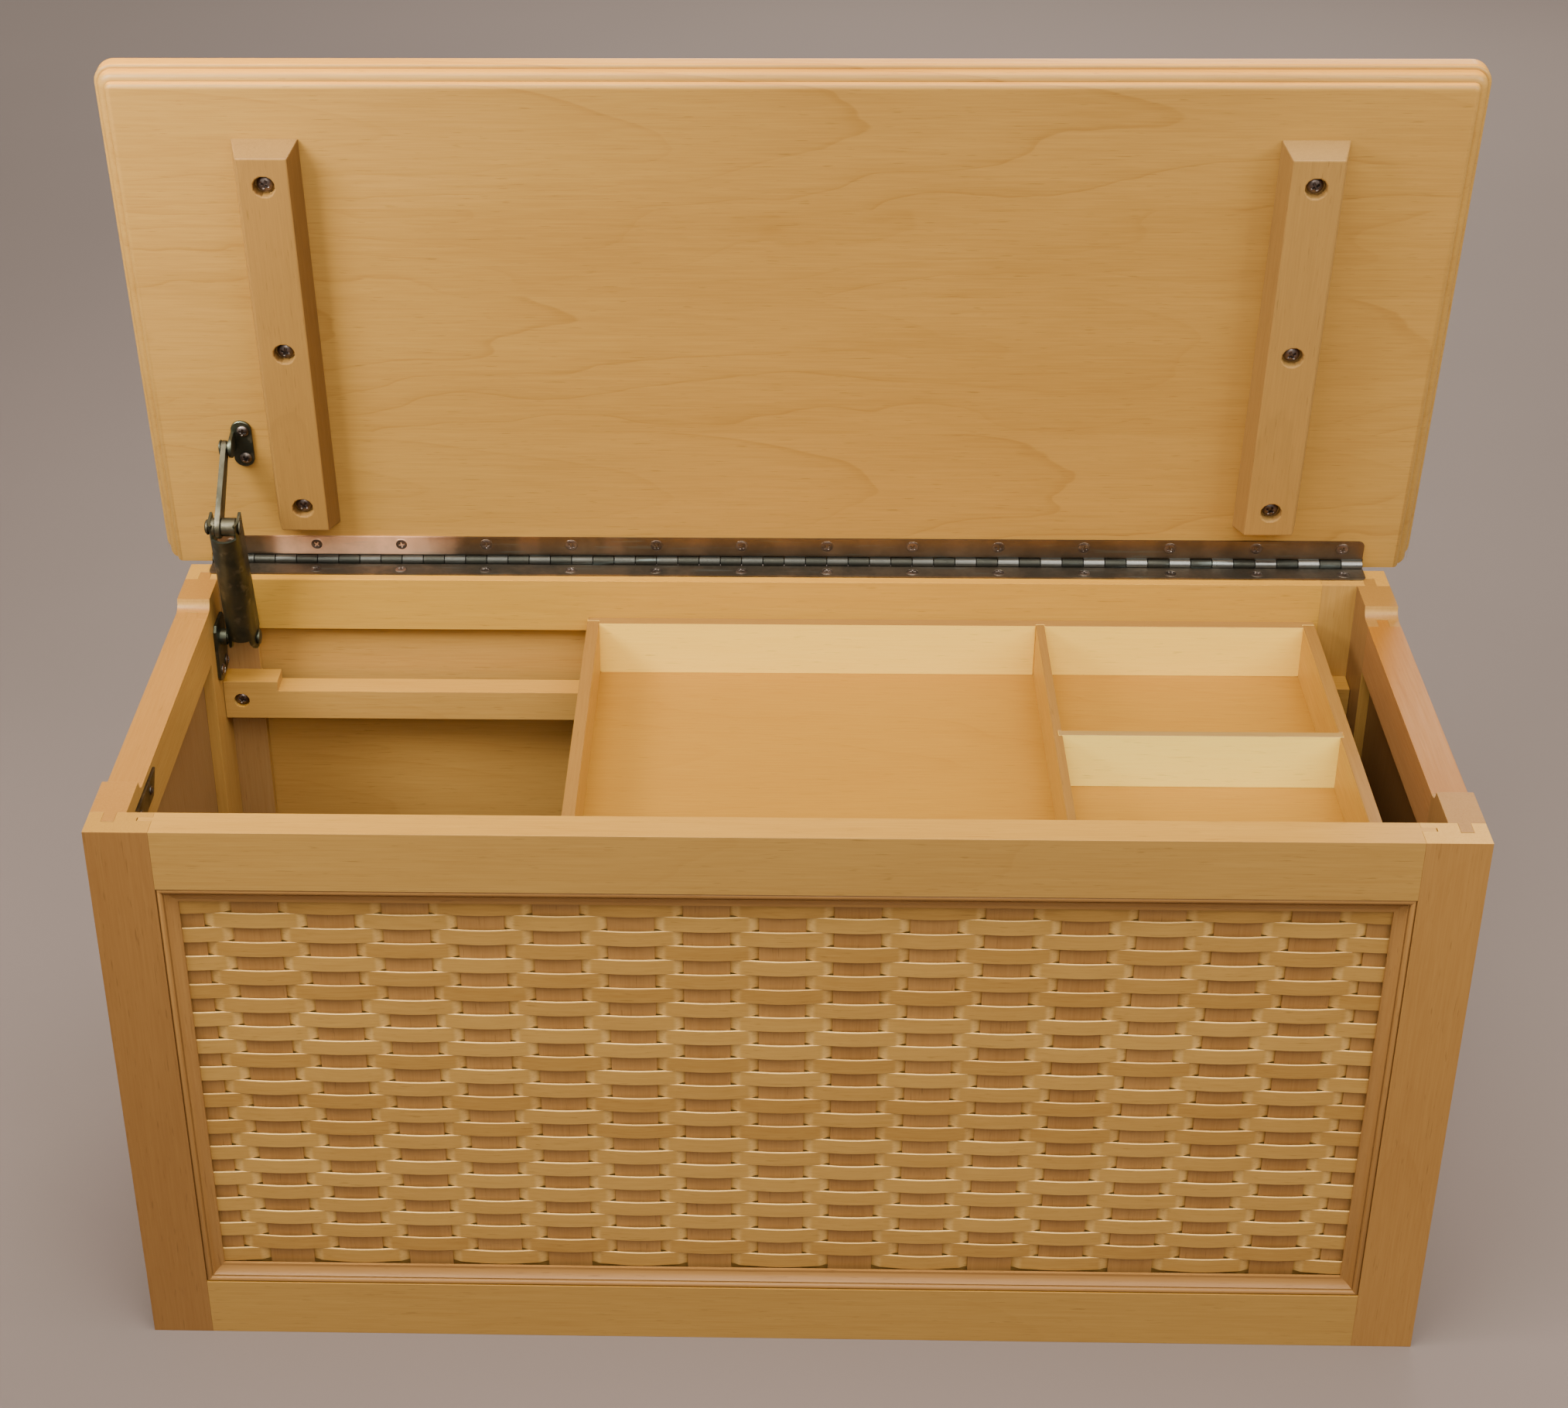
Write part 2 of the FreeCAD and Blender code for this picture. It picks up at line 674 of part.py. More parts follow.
def make_hinge():
    upper = lid_bottom - leaf_thickness
    parts["hinge_body_leaf"] = hinge_leaf(0, chest_height, 1)
    parts["hinge_lid_leaf"] = opened(hinge_leaf(1, upper, -1))
    parts["hinge_pin"] = rod(vec(-hinge_length / 2, axis_y, axis_z), vec(hinge_length / 2, axis_y, axis_z),
                             hinge_pin_radius)
    y = axis_y - hinge_screw_line
    lower = [screw(hinge_screw, vec(x, y, chest_height + leaf_thickness), vec(0, 0, -1))
             for x in hinge_screw_places()]
    parts["hinge_body_screws"] = group(lower)
    raised = [opened(screw(hinge_screw, vec(x, y, upper), vec(0, 0, 1))) for x in hinge_screw_places()]
    parts["hinge_lid_screws"] = group(raised)


def round_points(middle, radius, first, last, count):
    """Points on an arc round middle, in the plane of y and z, from angle first to angle last in degrees."""
    step = (last - first) / (count - 1)
    turns = [math.radians(first + n * step) for n in range(count)]
    return [vec(middle.x, middle.y + radius * math.cos(a), middle.z + radius * math.sin(a)) for a in turns]


def capsule(x0, x1, start, end, radius):
    """A flat bar across x from x0 to x1, with round ends about two points."""
    along = math.degrees(math.atan2(end.z - start.z, end.y - start.y))
    outline = round_points(vec(x0, end.y, end.z), radius, along - 90, along + 90, round_steps)
    outline += round_points(vec(x0, start.y, start.z), radius, along + 90, along + 270, round_steps)
    return slab(outline, vec(x1 - x0, 0, 0))


def pin_between(x0, x1, place, radius):
    pin = faceted(pin_sides, ((radius, 0), (radius, x1 - x0)))
    return aimed(pin, vec(x0, place.y, place.z), vec(1, 0, 0))


def pin_hole(x0, x1, place, radius):
    return aimed(bore(pin_sides, radius, x1 - x0), vec(x0, place.y, place.z), vec(1, 0, 0))


def stay_housing(base, elbow, left, right):
    """Round-fronted channel from the base pin to the elbow pin, open at the back and the top for the arm."""
    along = elbow - base
    length = along.Length
    radius = housing_width / 2
    inner = radius - housing_wall
    low = -housing_ear
    high = length + housing_crown

    def channel(r, back):
        """Section in x and y, pushed up z: round to the front, straight to the back."""
        count = 2 * round_steps
        turns = [math.pi + n * math.pi / (count - 1) for n in range(count)]
        front = [vec(r * math.cos(a), r * math.sin(a), low) for a in turns]
        return slab(front + [vec(r, back, low), vec(-r, back, low)], vec(0, 0, high - low))

    middle = (housing_back - radius) / 2
    ear = capsule(-radius, radius, vec(0, middle, 0), vec(0, middle, barrel_start), housing_ear)
    side = merge([ear, box(-radius, radius, -radius, housing_back, housing_foot, high)])
    shell = channel(radius, housing_back).cut(channel(inner, housing_back + 1)).common(side)
    shell = shell.cut(box(-radius, radius, -radius, -radius * mouth_share, length - housing_mouth, high))
    for z, hole in ((0, stay_pin_radius + stay_running_play), (length, stay_pin_radius)):
        shell = shell.cut(pin_hole(-radius, radius, vec(0, 0, z), hole))
    rim = inner - barrel_play
    core = rim - barrel_rim
    barrel = merge([faceted(barrel_sides, ((core, barrel_start), (core, barrel_end))),
                    faceted(barrel_sides, ((rim, barrel_start), (rim, barrel_start + barrel_rim_length))),
                    faceted(barrel_sides, ((rim, barrel_end - barrel_rim_length), (rim, barrel_end)))])
    lean = math.degrees(math.atan2(along.y, along.z))
    seat = FreeCAD.Placement(vec((left + right) / 2, base.y, base.z), FreeCAD.Rotation(vec(1, 0, 0), -lean))
    shell.Placement = seat
    barrel.Placement = seat
    return shell, barrel


def make_stay():
    """Base plate on the left side, round-fronted housing, arm, and the plate on the lid."""
    wall = -inner_x
    base = vec(0, axis_y - stay_base_forward, axis_z - stay_base_drop)
    lid_pivot = lid_point(0, stay_lid_reach, stay_lid_drop)
    elbow = lid_pivot + base - vec(0, axis_y, axis_z)
    plate_x = wall + stay_plate
    left = plate_x + stay_standoff
    right = left + housing_width

    low = base.z - stay_base_below
    high = base.z + stay_base_above
    reach = stay_base_width / 2
    plate = box(wall, plate_x, base.y - reach, base.y + reach, low, high)
    across = [e for e in plate.Edges if abs(e.tangentAt(e.FirstParameter).x) > 0.99]
    plate = plate.makeChamfer(reach / 4, across)
    plate = plate.cut(pin_hole(wall, plate_x, base, stay_pin_radius))
    seats = [vec(plate_x, base.y + dy, low + reach / 2) for dy in (-reach / 2, reach / 2)]
    parts["stay_base_plate"] = plate
    parts["stay_base_screws"] = group([screw(stay_screw, seat, vec(-1, 0, 0), domed=True) for seat in seats])

    tip = right + stay_wall_gap
    parts["stay_base_pin"] = merge([pin_between(wall, tip, base, stay_pin_radius),
                                    pin_between(plate_x, left - stay_wall_gap, base, stay_collar_radius),
                                    pin_between(tip, tip + pin_head_height, base, pin_head_radius)])
    parts["stay_elbow_pin"] = merge([pin_between(left, right, elbow, stay_pin_radius),
                                     pin_between(left - stay_far_head, left, elbow, pin_head_radius),
                                     pin_between(right, right + pin_head_height, elbow, pin_head_radius)])
    parts["stay_housing"], parts["stay_barrel"] = stay_housing(base, elbow, left, right)

    arm_left = left + arm_inset
    arm_right = arm_left + arm_thickness
    arm = capsule(arm_left, arm_right, elbow, lid_pivot, arm_half_width)
    for p, play in ((lid_pivot, stay_running_play), (elbow, stay_open_play)):
        arm = arm.cut(pin_hole(arm_left, arm_right, p, stay_pin_radius + play))
    parts["stay_arm"] = arm

    lug_x = arm_right + stay_lug_gap
    closed = vec(0, axis_y - stay_lid_reach, lid_bottom - stay_lid_drop)
    half = (lid_plate_length - lid_plate_width) / 2
    middle = vec(lug_x + lid_plate_width / 2, closed.y + lid_plate_behind, lid_bottom)
    radius = lid_plate_width / 2
    under = lid_bottom - stay_plate
    plate = aimed(capsule(0, stay_plate, vec(0, -half, 0), vec(0, half, 0), radius), middle, vec(1, 0, 0))
    root = vec(0, closed.y, under)
    lug = capsule(lug_x, lug_x + stay_lug, root, closed, stay_lug_radius)
    lug = lug.common(box(lug_x, lug_x + stay_lug, closed.y - stay_lug_radius, closed.y + stay_lug_radius,
                         closed.z - stay_lug_radius, under))
    plate = merge([plate, lug])
    plate = plate.cut(pin_hole(lug_x, lug_x + stay_lug, closed, stay_pin_radius))
    heads = [vec(middle.x + stay_lug / 2, middle.y + way * lid_plate_screw_pitch / 2, under) for way in (-1, 1)]
    parts["stay_lid_plate"] = opened(plate)
    parts["stay_lid_screws"] = group([opened(screw(stay_screw, seat, vec(0, 0, 1), domed=True)) for seat in heads])
    near = arm_left - stay_wall_gap
    parts["stay_lid_pin"] = opened(merge([pin_between(near, lug_x + stay_lug, closed, stay_pin_radius),
                                          pin_between(near - pin_head_height, near, closed, pin_head_radius)]))


def make_catch_plate():
    """Thin plate on the left side, square at the front and drawn to a point at the back."""
    wall = -inner_x
    top = chest_height - catch_below_top
    low = top - catch_height
    y0 = front_y + catch_start
    y1 = y0 + catch_length
    outline = [vec(wall, y0, low), vec(wall, y1 - catch_tip, low), vec(wall, y1, top), vec(wall, y0, top)]
    plate = slab(outline, vec(catch_thickness, 0, 0))
    seats = [vec(wall + catch_thickness, y0 + catch_screw_inset + n * catch_screw_pitch, (low + top) / 2)
             for n in range(2)]
    parts["catch_plate"] = plate
    parts["catch_plate_screws"] = group([screw(catch_screw, seat, vec(-1, 0, 0), domed=True) for seat in seats])


def main():
    make_box()
    make_mouldings()
    make_weave()
    make_runners()
    make_tray()
    make_lid()
    make_battens()
    make_hinge()
    make_stay()
    make_catch_plate()
    os.makedirs("parts", exist_ok=True)
    for name, shape in parts.items():
        shape.exportStep("parts/" + name + ".step")
    print(len(parts), "nodes,", sum(len(shape.Solids) for shape in parts.values()), "solids")


main()
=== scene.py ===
import json
import math
import random

import bmesh
import bpy
from mathutils import Matrix, Vector


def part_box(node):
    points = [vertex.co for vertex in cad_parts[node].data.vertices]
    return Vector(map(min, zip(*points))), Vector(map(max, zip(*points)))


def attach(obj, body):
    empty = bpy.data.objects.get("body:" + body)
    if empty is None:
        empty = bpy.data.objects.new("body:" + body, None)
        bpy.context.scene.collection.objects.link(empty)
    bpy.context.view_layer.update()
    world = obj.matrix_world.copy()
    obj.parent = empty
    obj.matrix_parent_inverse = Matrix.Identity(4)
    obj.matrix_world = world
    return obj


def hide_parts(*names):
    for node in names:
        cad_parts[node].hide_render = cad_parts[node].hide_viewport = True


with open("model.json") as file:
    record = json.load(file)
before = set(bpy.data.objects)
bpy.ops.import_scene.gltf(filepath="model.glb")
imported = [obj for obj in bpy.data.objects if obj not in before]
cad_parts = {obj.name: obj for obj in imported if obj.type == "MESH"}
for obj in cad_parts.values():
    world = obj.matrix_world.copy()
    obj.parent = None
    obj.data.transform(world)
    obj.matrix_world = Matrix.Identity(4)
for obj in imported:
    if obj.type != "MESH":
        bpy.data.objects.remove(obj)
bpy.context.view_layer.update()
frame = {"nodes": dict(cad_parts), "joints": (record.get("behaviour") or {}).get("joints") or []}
cad = frame["nodes"]

MM = 0.001
across = Vector((1, 0, 0))
deep = Vector((0, 1, 0))
up = Vector((0, 0, 1))

# Camera, fitted to the photograph
photo_width = 2027
photo_height = 1820
focal_pixels = 3523.3
optical_centre = (912.8, 929.3)
camera_place = (-0.00215, -1.160685, 1.08831)
camera_down = 30.592
camera_turn = -1.791
camera_roll = -0.501

# Light. Each soft box: place, the point it faces, width and height, watts, spread in degrees
warm = (1.0, 0.95, 0.88)
sky_tint = (1.0, 0.97, 0.94)
sky_strength = 0.36
soft_boxes = {
    "overhead": ((0.2, -0.1, 2.4), (0, 0.1, 0.2), (1.6, 1.2), 47, 180),
    "near_lamp": ((-0.45, -0.5, 1.9), (0, 0.3, 0.3), (0.8, 0.6), 15, 180),
    "left_box": ((-1.0, -1.3, 2.1), (0, 0.1, 0.4), (1.1, 0.9), 6, 180),
    "right_box": ((1.0, -1.3, 2.1), (0, 0.1, 0.4), (1.1, 0.9), 25, 180),
    "front_box": ((0.0, -1.9, 1.5), (0, 0, 0.3), (0.8, 0.6), 13.5, 180),
    "left_lamp": ((-0.75, -0.15, 0.95), (-0.36, 0.33, 0.58), (0.35, 0.35), 4.6, 100),
    "right_lamp": ((0.85, -0.15, 0.85), (0.36, 0.33, 0.5), (0.35, 0.35), 1.4, 100),
    "back_box": ((0.45, 2.6, 1.4), (0, 0.3, 0.3), (1.6, 1.0), 34, 180),
}

# Floor, in metres: it grows paler from near_floor to far_floor, painted light where the lamps reach
# little
floor_reach = 30
near_floor = 1.7
far_floor = 5.0

# Places read off the frame
pivots = {joint["name"]: Vector(joint["pos_m"]) for joint in frame["joints"] if joint.get("pos_m")}
hinge_axis = pivots["lid_hinge"]
lid_turn = Matrix.Rotation(math.radians(-82.5), 3, "X")
lid_forward = lid_turn @ Vector((0, -1, 0))
lid_normal = lid_turn @ up


def add_camera():
    """Stands where the photographer stood; the shift is the photograph's own off-centre crop."""
    down = math.radians(camera_down)
    turn = math.radians(camera_turn)
    roll = math.radians(camera_roll)
    forward = Vector((math.sin(turn) * math.cos(down), math.cos(turn) * math.cos(down),
                      -math.sin(down)))
    level = Vector((math.cos(turn), -math.sin(turn), 0))
    upright = level.cross(forward)
    right = level * math.cos(roll) + upright * math.sin(roll)
    top = upright * math.cos(roll) - level * math.sin(roll)
    data = bpy.data.cameras.new("camera")
    data.sensor_width = 36
    data.lens = focal_pixels / photo_width * data.sensor_width
    data.shift_x = (photo_width / 2 - optical_centre[0]) / photo_width
    data.shift_y = (optical_centre[1] - photo_height / 2) / photo_width
    camera = bpy.data.objects.new("camera", data)
    turned = Matrix((right, top, -forward)).transposed()
    camera.matrix_world = Matrix.Translation(camera_place) @ turned.to_4x4()
    bpy.context.scene.collection.objects.link(camera)
    bpy.context.scene.camera = camera


def add_soft_box(name, place, target, size, watts, spread):
    data = bpy.data.lights.new(name, "AREA")
    data.shape = "RECTANGLE"
    data.size, data.size_y = size
    data.energy = watts
    data.color = warm
    data.spread = math.radians(spread)
    lamp = bpy.data.objects.new(name, data)
    lamp.location = place
    lamp.rotation_euler = (Vector(target) - Vector(place)).to_track_quat("-Z", "Y").to_euler()
    bpy.context.scene.collection.objects.link(lamp)


def add_studio():
    """Pale floor, soft sky, and soft boxes overhead, in front, behind and at both sides."""
    world = bpy.data.worlds.new("studio")
    bpy.context.scene.world = world
    world.use_nodes = True
    sky = world.node_tree.nodes["Background"]
    sky.inputs["Color"].default_value = (*sky_tint, 1)
    sky.inputs["Strength"].default_value = sky_strength
    for name, settings in soft_boxes.items():
        add_soft_box(name, *settings)
    mesh = bpy.data.meshes.new("floor")
    corners = [(-1, -1), (1, -1), (1, 1), (-1, 1)]
    mesh.from_pydata([(x * floor_reach, y * floor_reach, 0) for x, y in corners], [],
                     [(0, 1, 2, 3)])
    floor = bpy.data.objects.new("floor", mesh)
    bpy.context.scene.collection.objects.link(floor)
    mesh.materials.append(floor_finish())


def floor_finish():
    finish = Finish("pale floor")
    place = finish.coordinate("Object")
    near = finish.mix(finish.noise(place, 3.0, 2), (0.182, 0.141, 0.122), (0.200, 0.155, 0.134))
    x, y = finish.along(place, across), finish.along(place, deep)
    # Painted light: the floor grows paler far off, where the lamps reach little.
    far = (x * x + y * y).root().ramp(near_floor, far_floor)
    finish.set("Base Color", finish.mix(far, near, (0.52, 0.42, 0.37)))
    finish.set("Roughness", 0.85)
    return finish.material


class Number:
    """A number that varies over a surface. Arithmetic on it adds the Math nodes."""

    def __init__(self, finish, socket):
        self.finish = finish
        self.socket = socket

    def math(self, operation, *values):
        settings = {"operation": operation}
        values = dict(enumerate(values))
        return Number(self.finish, self.finish.add("ShaderNodeMath", settings, values))

    def __add__(self, other):
        return self.math("ADD", self, other)

    def __radd__(self, other):
        return self.math("ADD", other, self)

    def __sub__(self, other):
        return self.math("SUBTRACT", self, other)

    def __rsub__(self, other):
        return self.math("SUBTRACT", other, self)

    def __mul__(self, other):
        return self.math("MULTIPLY", self, other)

    def __rmul__(self, other):
        return self.math("MULTIPLY", other, self)

    def __truediv__(self, other):
        return self.math("DIVIDE", self, other)

    def floor(self):
        return self.math("FLOOR", self)

    def fract(self):
        return self.math("FRACT", self)

    def root(self):
        return self.math("SQRT", self)

    def size(self):
        return self.math("ABSOLUTE", self)

    def above(self, edge):
        return self.math("GREATER_THAN", self, edge)

    def ramp(self, low, high):
        """0 below low, 1 above high, smooth between."""
        values = {"Value": self, "From Min": low, "From Max": high}
        settings = {"interpolation_type": "SMOOTHSTEP"}
        return Number(self.finish, self.finish.add("ShaderNodeMapRange", settings, values))


class Finish:
    """One material. Constants sit on the shader's own sockets; what varies is linked to them."""

    def __init__(self, name):
        self.material = bpy.data.materials.new(name)
        self.material.use_nodes = True
        self.tree = self.material.node_tree
        self.shader = self.tree.nodes["Principled BSDF"]

    def add(self, kind, settings, values, output=0):
        """Makes a node, sets it up, fills its sockets, and gives back one of its outputs."""
        node = self.tree.nodes.new(kind)
        for key, value in settings.items():
            setattr(node, key, value)
        for key, value in values.items():
            self.fill(node.inputs[key], value)
        return node.outputs[output]

    def fill(self, socket, value):
        if isinstance(value, Number):
            value = value.socket
        if isinstance(value, bpy.types.NodeSocket):
            self.tree.links.new(value, socket)
        elif isinstance(value, (tuple, Vector)) and socket.type == "RGBA":
            socket.default_value = (*value, 1)
        else:
            socket.default_value = value

    def set(self, name, value):
        self.fill(self.shader.inputs[name], value)

    def coordinate(self, kind):
        """The place on the piece (Object) or the way its surface faces (Normal)."""
        return self.add("ShaderNodeTexCoord", {}, {}, kind)

    def along(self, vector, direction):
        """How far a place lies along a direction."""
        settings = {"operation": "DOT_PRODUCT"}
        values = {0: vector, 1: direction}
        return Number(self, self.add("ShaderNodeVectorMath", settings, values, "Value"))

    def vector(self, x, y, z):
        return self.add("ShaderNodeCombineXYZ", {}, {0: x, 1: y, 2: z})

    def noise(self, vector, scale, detail, roughness=0.5):
        values = {"Vector": vector, "Scale": scale, "Detail": detail, "Roughness": roughness}
        return Number(self, self.add("ShaderNodeTexNoise", {}, values, "Fac"))

    def cells(self, value, seed):
        """A number from 0 to 1 for each whole value."""
        settings = {"noise_dimensions": "1D"}
        values = {"W": value + seed}
        return Number(self, self.add("ShaderNodeTexWhiteNoise", settings, values, "Value"))

    def mix(self, factor, first, second, blend="MIX"):
        """Mixes two colours, which are inputs 6 and 7 of the Mix node."""
        settings = {"data_type": "RGBA", "blend_type": blend, "clamp_factor": True}
        return self.add("ShaderNodeMix", settings, {0: factor, 6: first, 7: second}, 2)

    def bump(self, height, depth, strength):
        values = {"Height": height, "Distance": depth, "Strength": strength}
        self.set("Normal", self.add("ShaderNodeBump", {}, values))


# Tones of the varnished wood: pale and dark
maple = ((0.46, 0.262, 0.064), (0.34, 0.172, 0.036))
red = ((0.36, 0.183, 0.050), (0.272, 0.124, 0.030))
gold = ((0.55, 0.305, 0.050), (0.42, 0.21, 0.028))
cream = ((0.95, 0.65, 0.115), (0.86, 0.54, 0.072))
# Paler copies of the cream for the tray's front and cross divider: painted light.
lit_cream = ((0.97, 0.72, 0.145), (0.88, 0.60, 0.095))
most_lit_cream = ((1.0, 0.80, 0.18), (0.93, 0.69, 0.12))
# Copies of the red for the front stiles: darker on the left as painted shade, paler on the right as
# painted light.
shaded_stile_tones = ((0.300, 0.146, 0.039), (0.223, 0.099, 0.023))
lit_stile_tones = ((0.405, 0.208, 0.054), (0.305, 0.14, 0.032))
tray_floor_tones = ((0.405, 0.202, 0.023), (0.315, 0.137, 0.013))
lid_tones = ((0.455, 0.256, 0.058), (0.33, 0.167, 0.033))
slat_tones = ((0.365, 0.188, 0.054), (0.27, 0.126, 0.032))
strip_tones = ((0.475, 0.267, 0.064), (0.335, 0.166, 0.034))

# Growth rings: how many there are in a millimetre, and how fast a board's cut runs away from the
# pith, which draws the rings out into arches
rings_per_mm = 0.075
run_out = 0.09


def painted_facing_light(direction, painted_tint, low=0.5, high=0.85):
    """Painted light and shade: a tint for the sides that face one way. It starts at low and is full
    at high.
    """
    return direction, low, high, painted_tint


def wood(name, grain, face, tones, figure=0.14, seed=0.0, gloss=0.42, pith=60.0, split=None,
         spread=0.3, blotch=0.45, middle=Vector(), painted_facing_lights=()):
    """Varnished maple. grain is the direction of the fibres, and face the normal of the board's
    wide side. figure is the strength of the growth rings, pith their middle's distance from
    middle, and split cuts the piece into boards that differ in tone by spread. u, v and w are
    millimetres along the grain, across it and through the board."""
    pale, dark = tones
    finish = Finish(name)
    place = finish.coordinate("Object")
    grain = grain.normalized()
    face = face.normalized()
    cross = face.cross(grain)
    u = (finish.along(place, grain) - middle.dot(grain)) * 1000
    v = (finish.along(place, cross) - middle.dot(cross)) * 1000
    w = (finish.along(place, face) - middle.dot(face)) * 1000
    taper = u * run_out
    shade = 0.0
    if split:
        index, offset = split(finish, place)
        lot = finish.cells(index, seed)
        u = lot * 900 + u
        v = lot * 40 + v - offset
        shade = (finish.cells(index, seed + 50) - 0.5) * spread
    shift = seed * 137.3

    slow = finish.noise(finish.vector(u * 0.0035 + shift, v * 0.012, w * 0.02), 1.0, 2)
    wander = finish.noise(finish.vector(u * 0.011 + shift, v * 0.03, w * 0.03 + 7), 1.0, 3)
    x = v + (slow - 0.5) * 70 + (wander - 0.5) * 12
    y = w + pith + taper + (slow - 0.5) * 24
    ring = ((x * x + y * y).root() * rings_per_mm + wander * 0.5).fract()
    growth = ring.ramp(0.55, 0.95) * 0.35 + ring.ramp(0.9, 0.975) * 0.65
    growth = growth * (1 - ring.ramp(0.975, 0.995)) * (0.35 + 0.65 * slow.ramp(0.42, 0.6))

    fibre = finish.noise(finish.vector(u * 0.012 + shift, v * 0.45, w * 0.45), 1.0, 4, 0.6)
    hair = finish.noise(finish.vector(u * 0.04 + shift, v * 1.2, w * 1.2), 1.0, 3)
    fleck = finish.noise(finish.vector(u * 0.08 + shift, v * 1.1, w * 1.1 + 3), 1.0, 1)
    fleck = fleck.ramp(0.66, 0.78)
    cloud = finish.noise(finish.vector(u * 0.006 + shift, v * 0.02, w * 0.02 + 11), 1.0, 2)

    tone = growth * figure + (fibre - 0.5) * 0.55 + (hair - 0.5) * 0.85
    tone = tone + (cloud - 0.5) * blotch + 0.42
    colour = finish.mix(tone + shade, pale, dark)
    colour = finish.mix(fleck * 0.4, colour, tuple(c * 0.55 for c in dark))
    # Painted light and shade: sides facing each way are paler where the tint is above 1, darker
    # where below
    normal = finish.coordinate("Normal")
    for direction, low, high, painted_tint in painted_facing_lights:
        lean = finish.along(normal, direction).ramp(low, high)
        colour = finish.mix(lean, colour, painted_tint, "MULTIPLY")
    finish.set("Base Color", colour)
    finish.set("Roughness", (hair - 0.5) * 0.16 + (cloud - 0.5) * 0.12 + gloss)
    finish.set("Specular IOR Level", 0.3)
    finish.bump(fibre * 0.5 + hair * 0.5 - fleck * 0.5, 0.00006, 0.4)
    return finish.material


def metal(name, colour, dark, wear, rough, seed):
    """Plated steel, rubbed bright in patches and dull in others."""
    finish = Finish(name)
    place = finish.coordinate("Object")
    patch = finish.noise(place, 55.0, 3)
    fine = finish.noise(place, 900.0, 2)
    rub = finish.noise(place, 160.0 + seed, 2).ramp(0.55, 0.75)
    tone = finish.mix(patch.ramp(0.35, 0.65), colour, dark)
    tone = finish.mix(rub * 0.5, tone, wear)
    finish.set("Base Color", tone)
    finish.set("Metallic", 1.0)
    finish.set("Roughness", (patch - 0.5) * 0.25 + (fine - 0.5) * 0.15 + rough)
    finish.bump(fine, 0.00005, 0.5)
    return finish.material


def dress(name, material):
    """Gives a CAD node a material."""
    slots = cad[name].data.materials
    slots.clear()
    slots.append(material)


def soften(name, width):
    """Eases the sharp edges of a CAD board, as sanding does."""
    weld = cad[name].modifiers.new("weld", "WELD")
    weld.merge_threshold = 0.00001
    ease = cad[name].modifiers.new("eased edges", "BEVEL")
    ease.width = width
    ease.segments = 2
    ease.limit_method = "ANGLE"
    ease.angle_limit = math.radians(30)
    ease.use_clamp_overlap = True


class Build:
    """Collects points, in millimetres, and faces for one made piece."""

    def __init__(self):
        self.points = []
        self.faces = []

    def skin(self, rings, looped=False):
        """Rings of points, each joined to the next. Both ends are closed, unless looped joins the
        last ring to the first."""
        base = len(self.points)
        count = len(rings[0])
        faces = []
        for row in range(len(rings) if looped else len(rings) - 1):
            near = row * count
            far = (row + 1) % len(rings) * count
            faces += [[near + n, near + (n + 1) % count, far + (n + 1) % count, far + n]
                      for n in range(count)]
        if not looped:
            faces.append(list(range(count)))
            faces.append([(len(rings) - 1) * count + n for n in range(count)])
        self.points += [Vector(p) * MM for ring in rings for p in ring]
        self.faces += [[n + base for n in face] for face in faces]

    def turned(self, profile, place, direction, steps=32, looped=False):
        """A turned piece: (radius, height) pairs round a place, height along the direction."""
        aim = Vector(direction).to_track_quat("Z", "Y")
        turns = [n * math.tau / steps for n in range(steps)]
        rings = []
        for radius, height in profile:
            ring = [Vector((radius * math.cos(a), radius * math.sin(a), height)) for a in turns]
            rings.append([aim @ p + Vector(place) for p in ring])
        self.skin(rings, looped)

    def slab(self, outline, push, ease=0.0):
        """A flat plate: an outline pushed along a vector, its rims eased in by that much."""
        push = Vector(push)
        outline = [Vector(p) for p in outline]
        if not ease:
            self.skin([outline, [p + push for p in outline]])
            return
        middle = sum(outline, Vector()) / len(outline)
        reach = max((p - middle).length for p in outline)
        small = [middle + (p - middle) * (1 - ease / reach) for p in outline]
        lift = push.normalized() * ease
        self.skin([small, [p + lift for p in outline], [p + push - lift for p in outline],
                   [p + push for p in small]])

    def mesh(self, name, sharp):
        mesh = bpy.data.meshes.new(name)
        mesh.from_pydata(self.points, [], self.faces)
        work = bmesh.new()
        work.from_mesh(mesh)
        bmesh.ops.remove_doubles(work, verts=work.verts, dist=0.000002)
        bmesh.ops.dissolve_degenerate(work, edges=work.edges, dist=0.000002)
        bmesh.ops.recalc_face_normals(work, faces=work.faces)
        work.to_mesh(mesh)
        work.free()
        mesh.shade_smooth()
        mesh.set_sharp_from_angle(angle=math.radians(sharp))
        return mesh


def piece(name, build, material, body, node, sharp=32):
    """Adds what was built to the object, on its body, with its finish and for its CAD node."""
    mesh = build.mesh(name, sharp)
    mesh.materials.append(material)
    made = bpy.data.objects.new(name, mesh)
    bpy.context.scene.collection.objects.link(made)
    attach(made, body)
    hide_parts(node)


def arc(x, y, radius, start, turn, steps):
    """Points along an arc round (x, y), from a first angle through a turn, both in degrees."""
    angles = [math.radians(start + turn * n / (steps - 1)) for n in range(steps)]
    return [(x + radius * math.cos(a), y + radius * math.sin(a)) for a in angles]


def rounded(width, height, radius, steps=3):
    """A rectangle with rounded corners, about its middle."""
    pairs = []
    for sx, sy, start in ((1, 1, 0), (-1, 1, 90), (-1, -1, 180), (1, -1, 270)):
        x, y = sx * (width / 2 - radius), sy * (height / 2 - radius)
        pairs += arc(x, y, radius, start, 90, steps)
    return pairs


def limits(node):
    """The low and the high corner of a CAD node's box, in millimetres."""
    low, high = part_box(node)
    return Vector(low) / MM, Vector(high) / MM


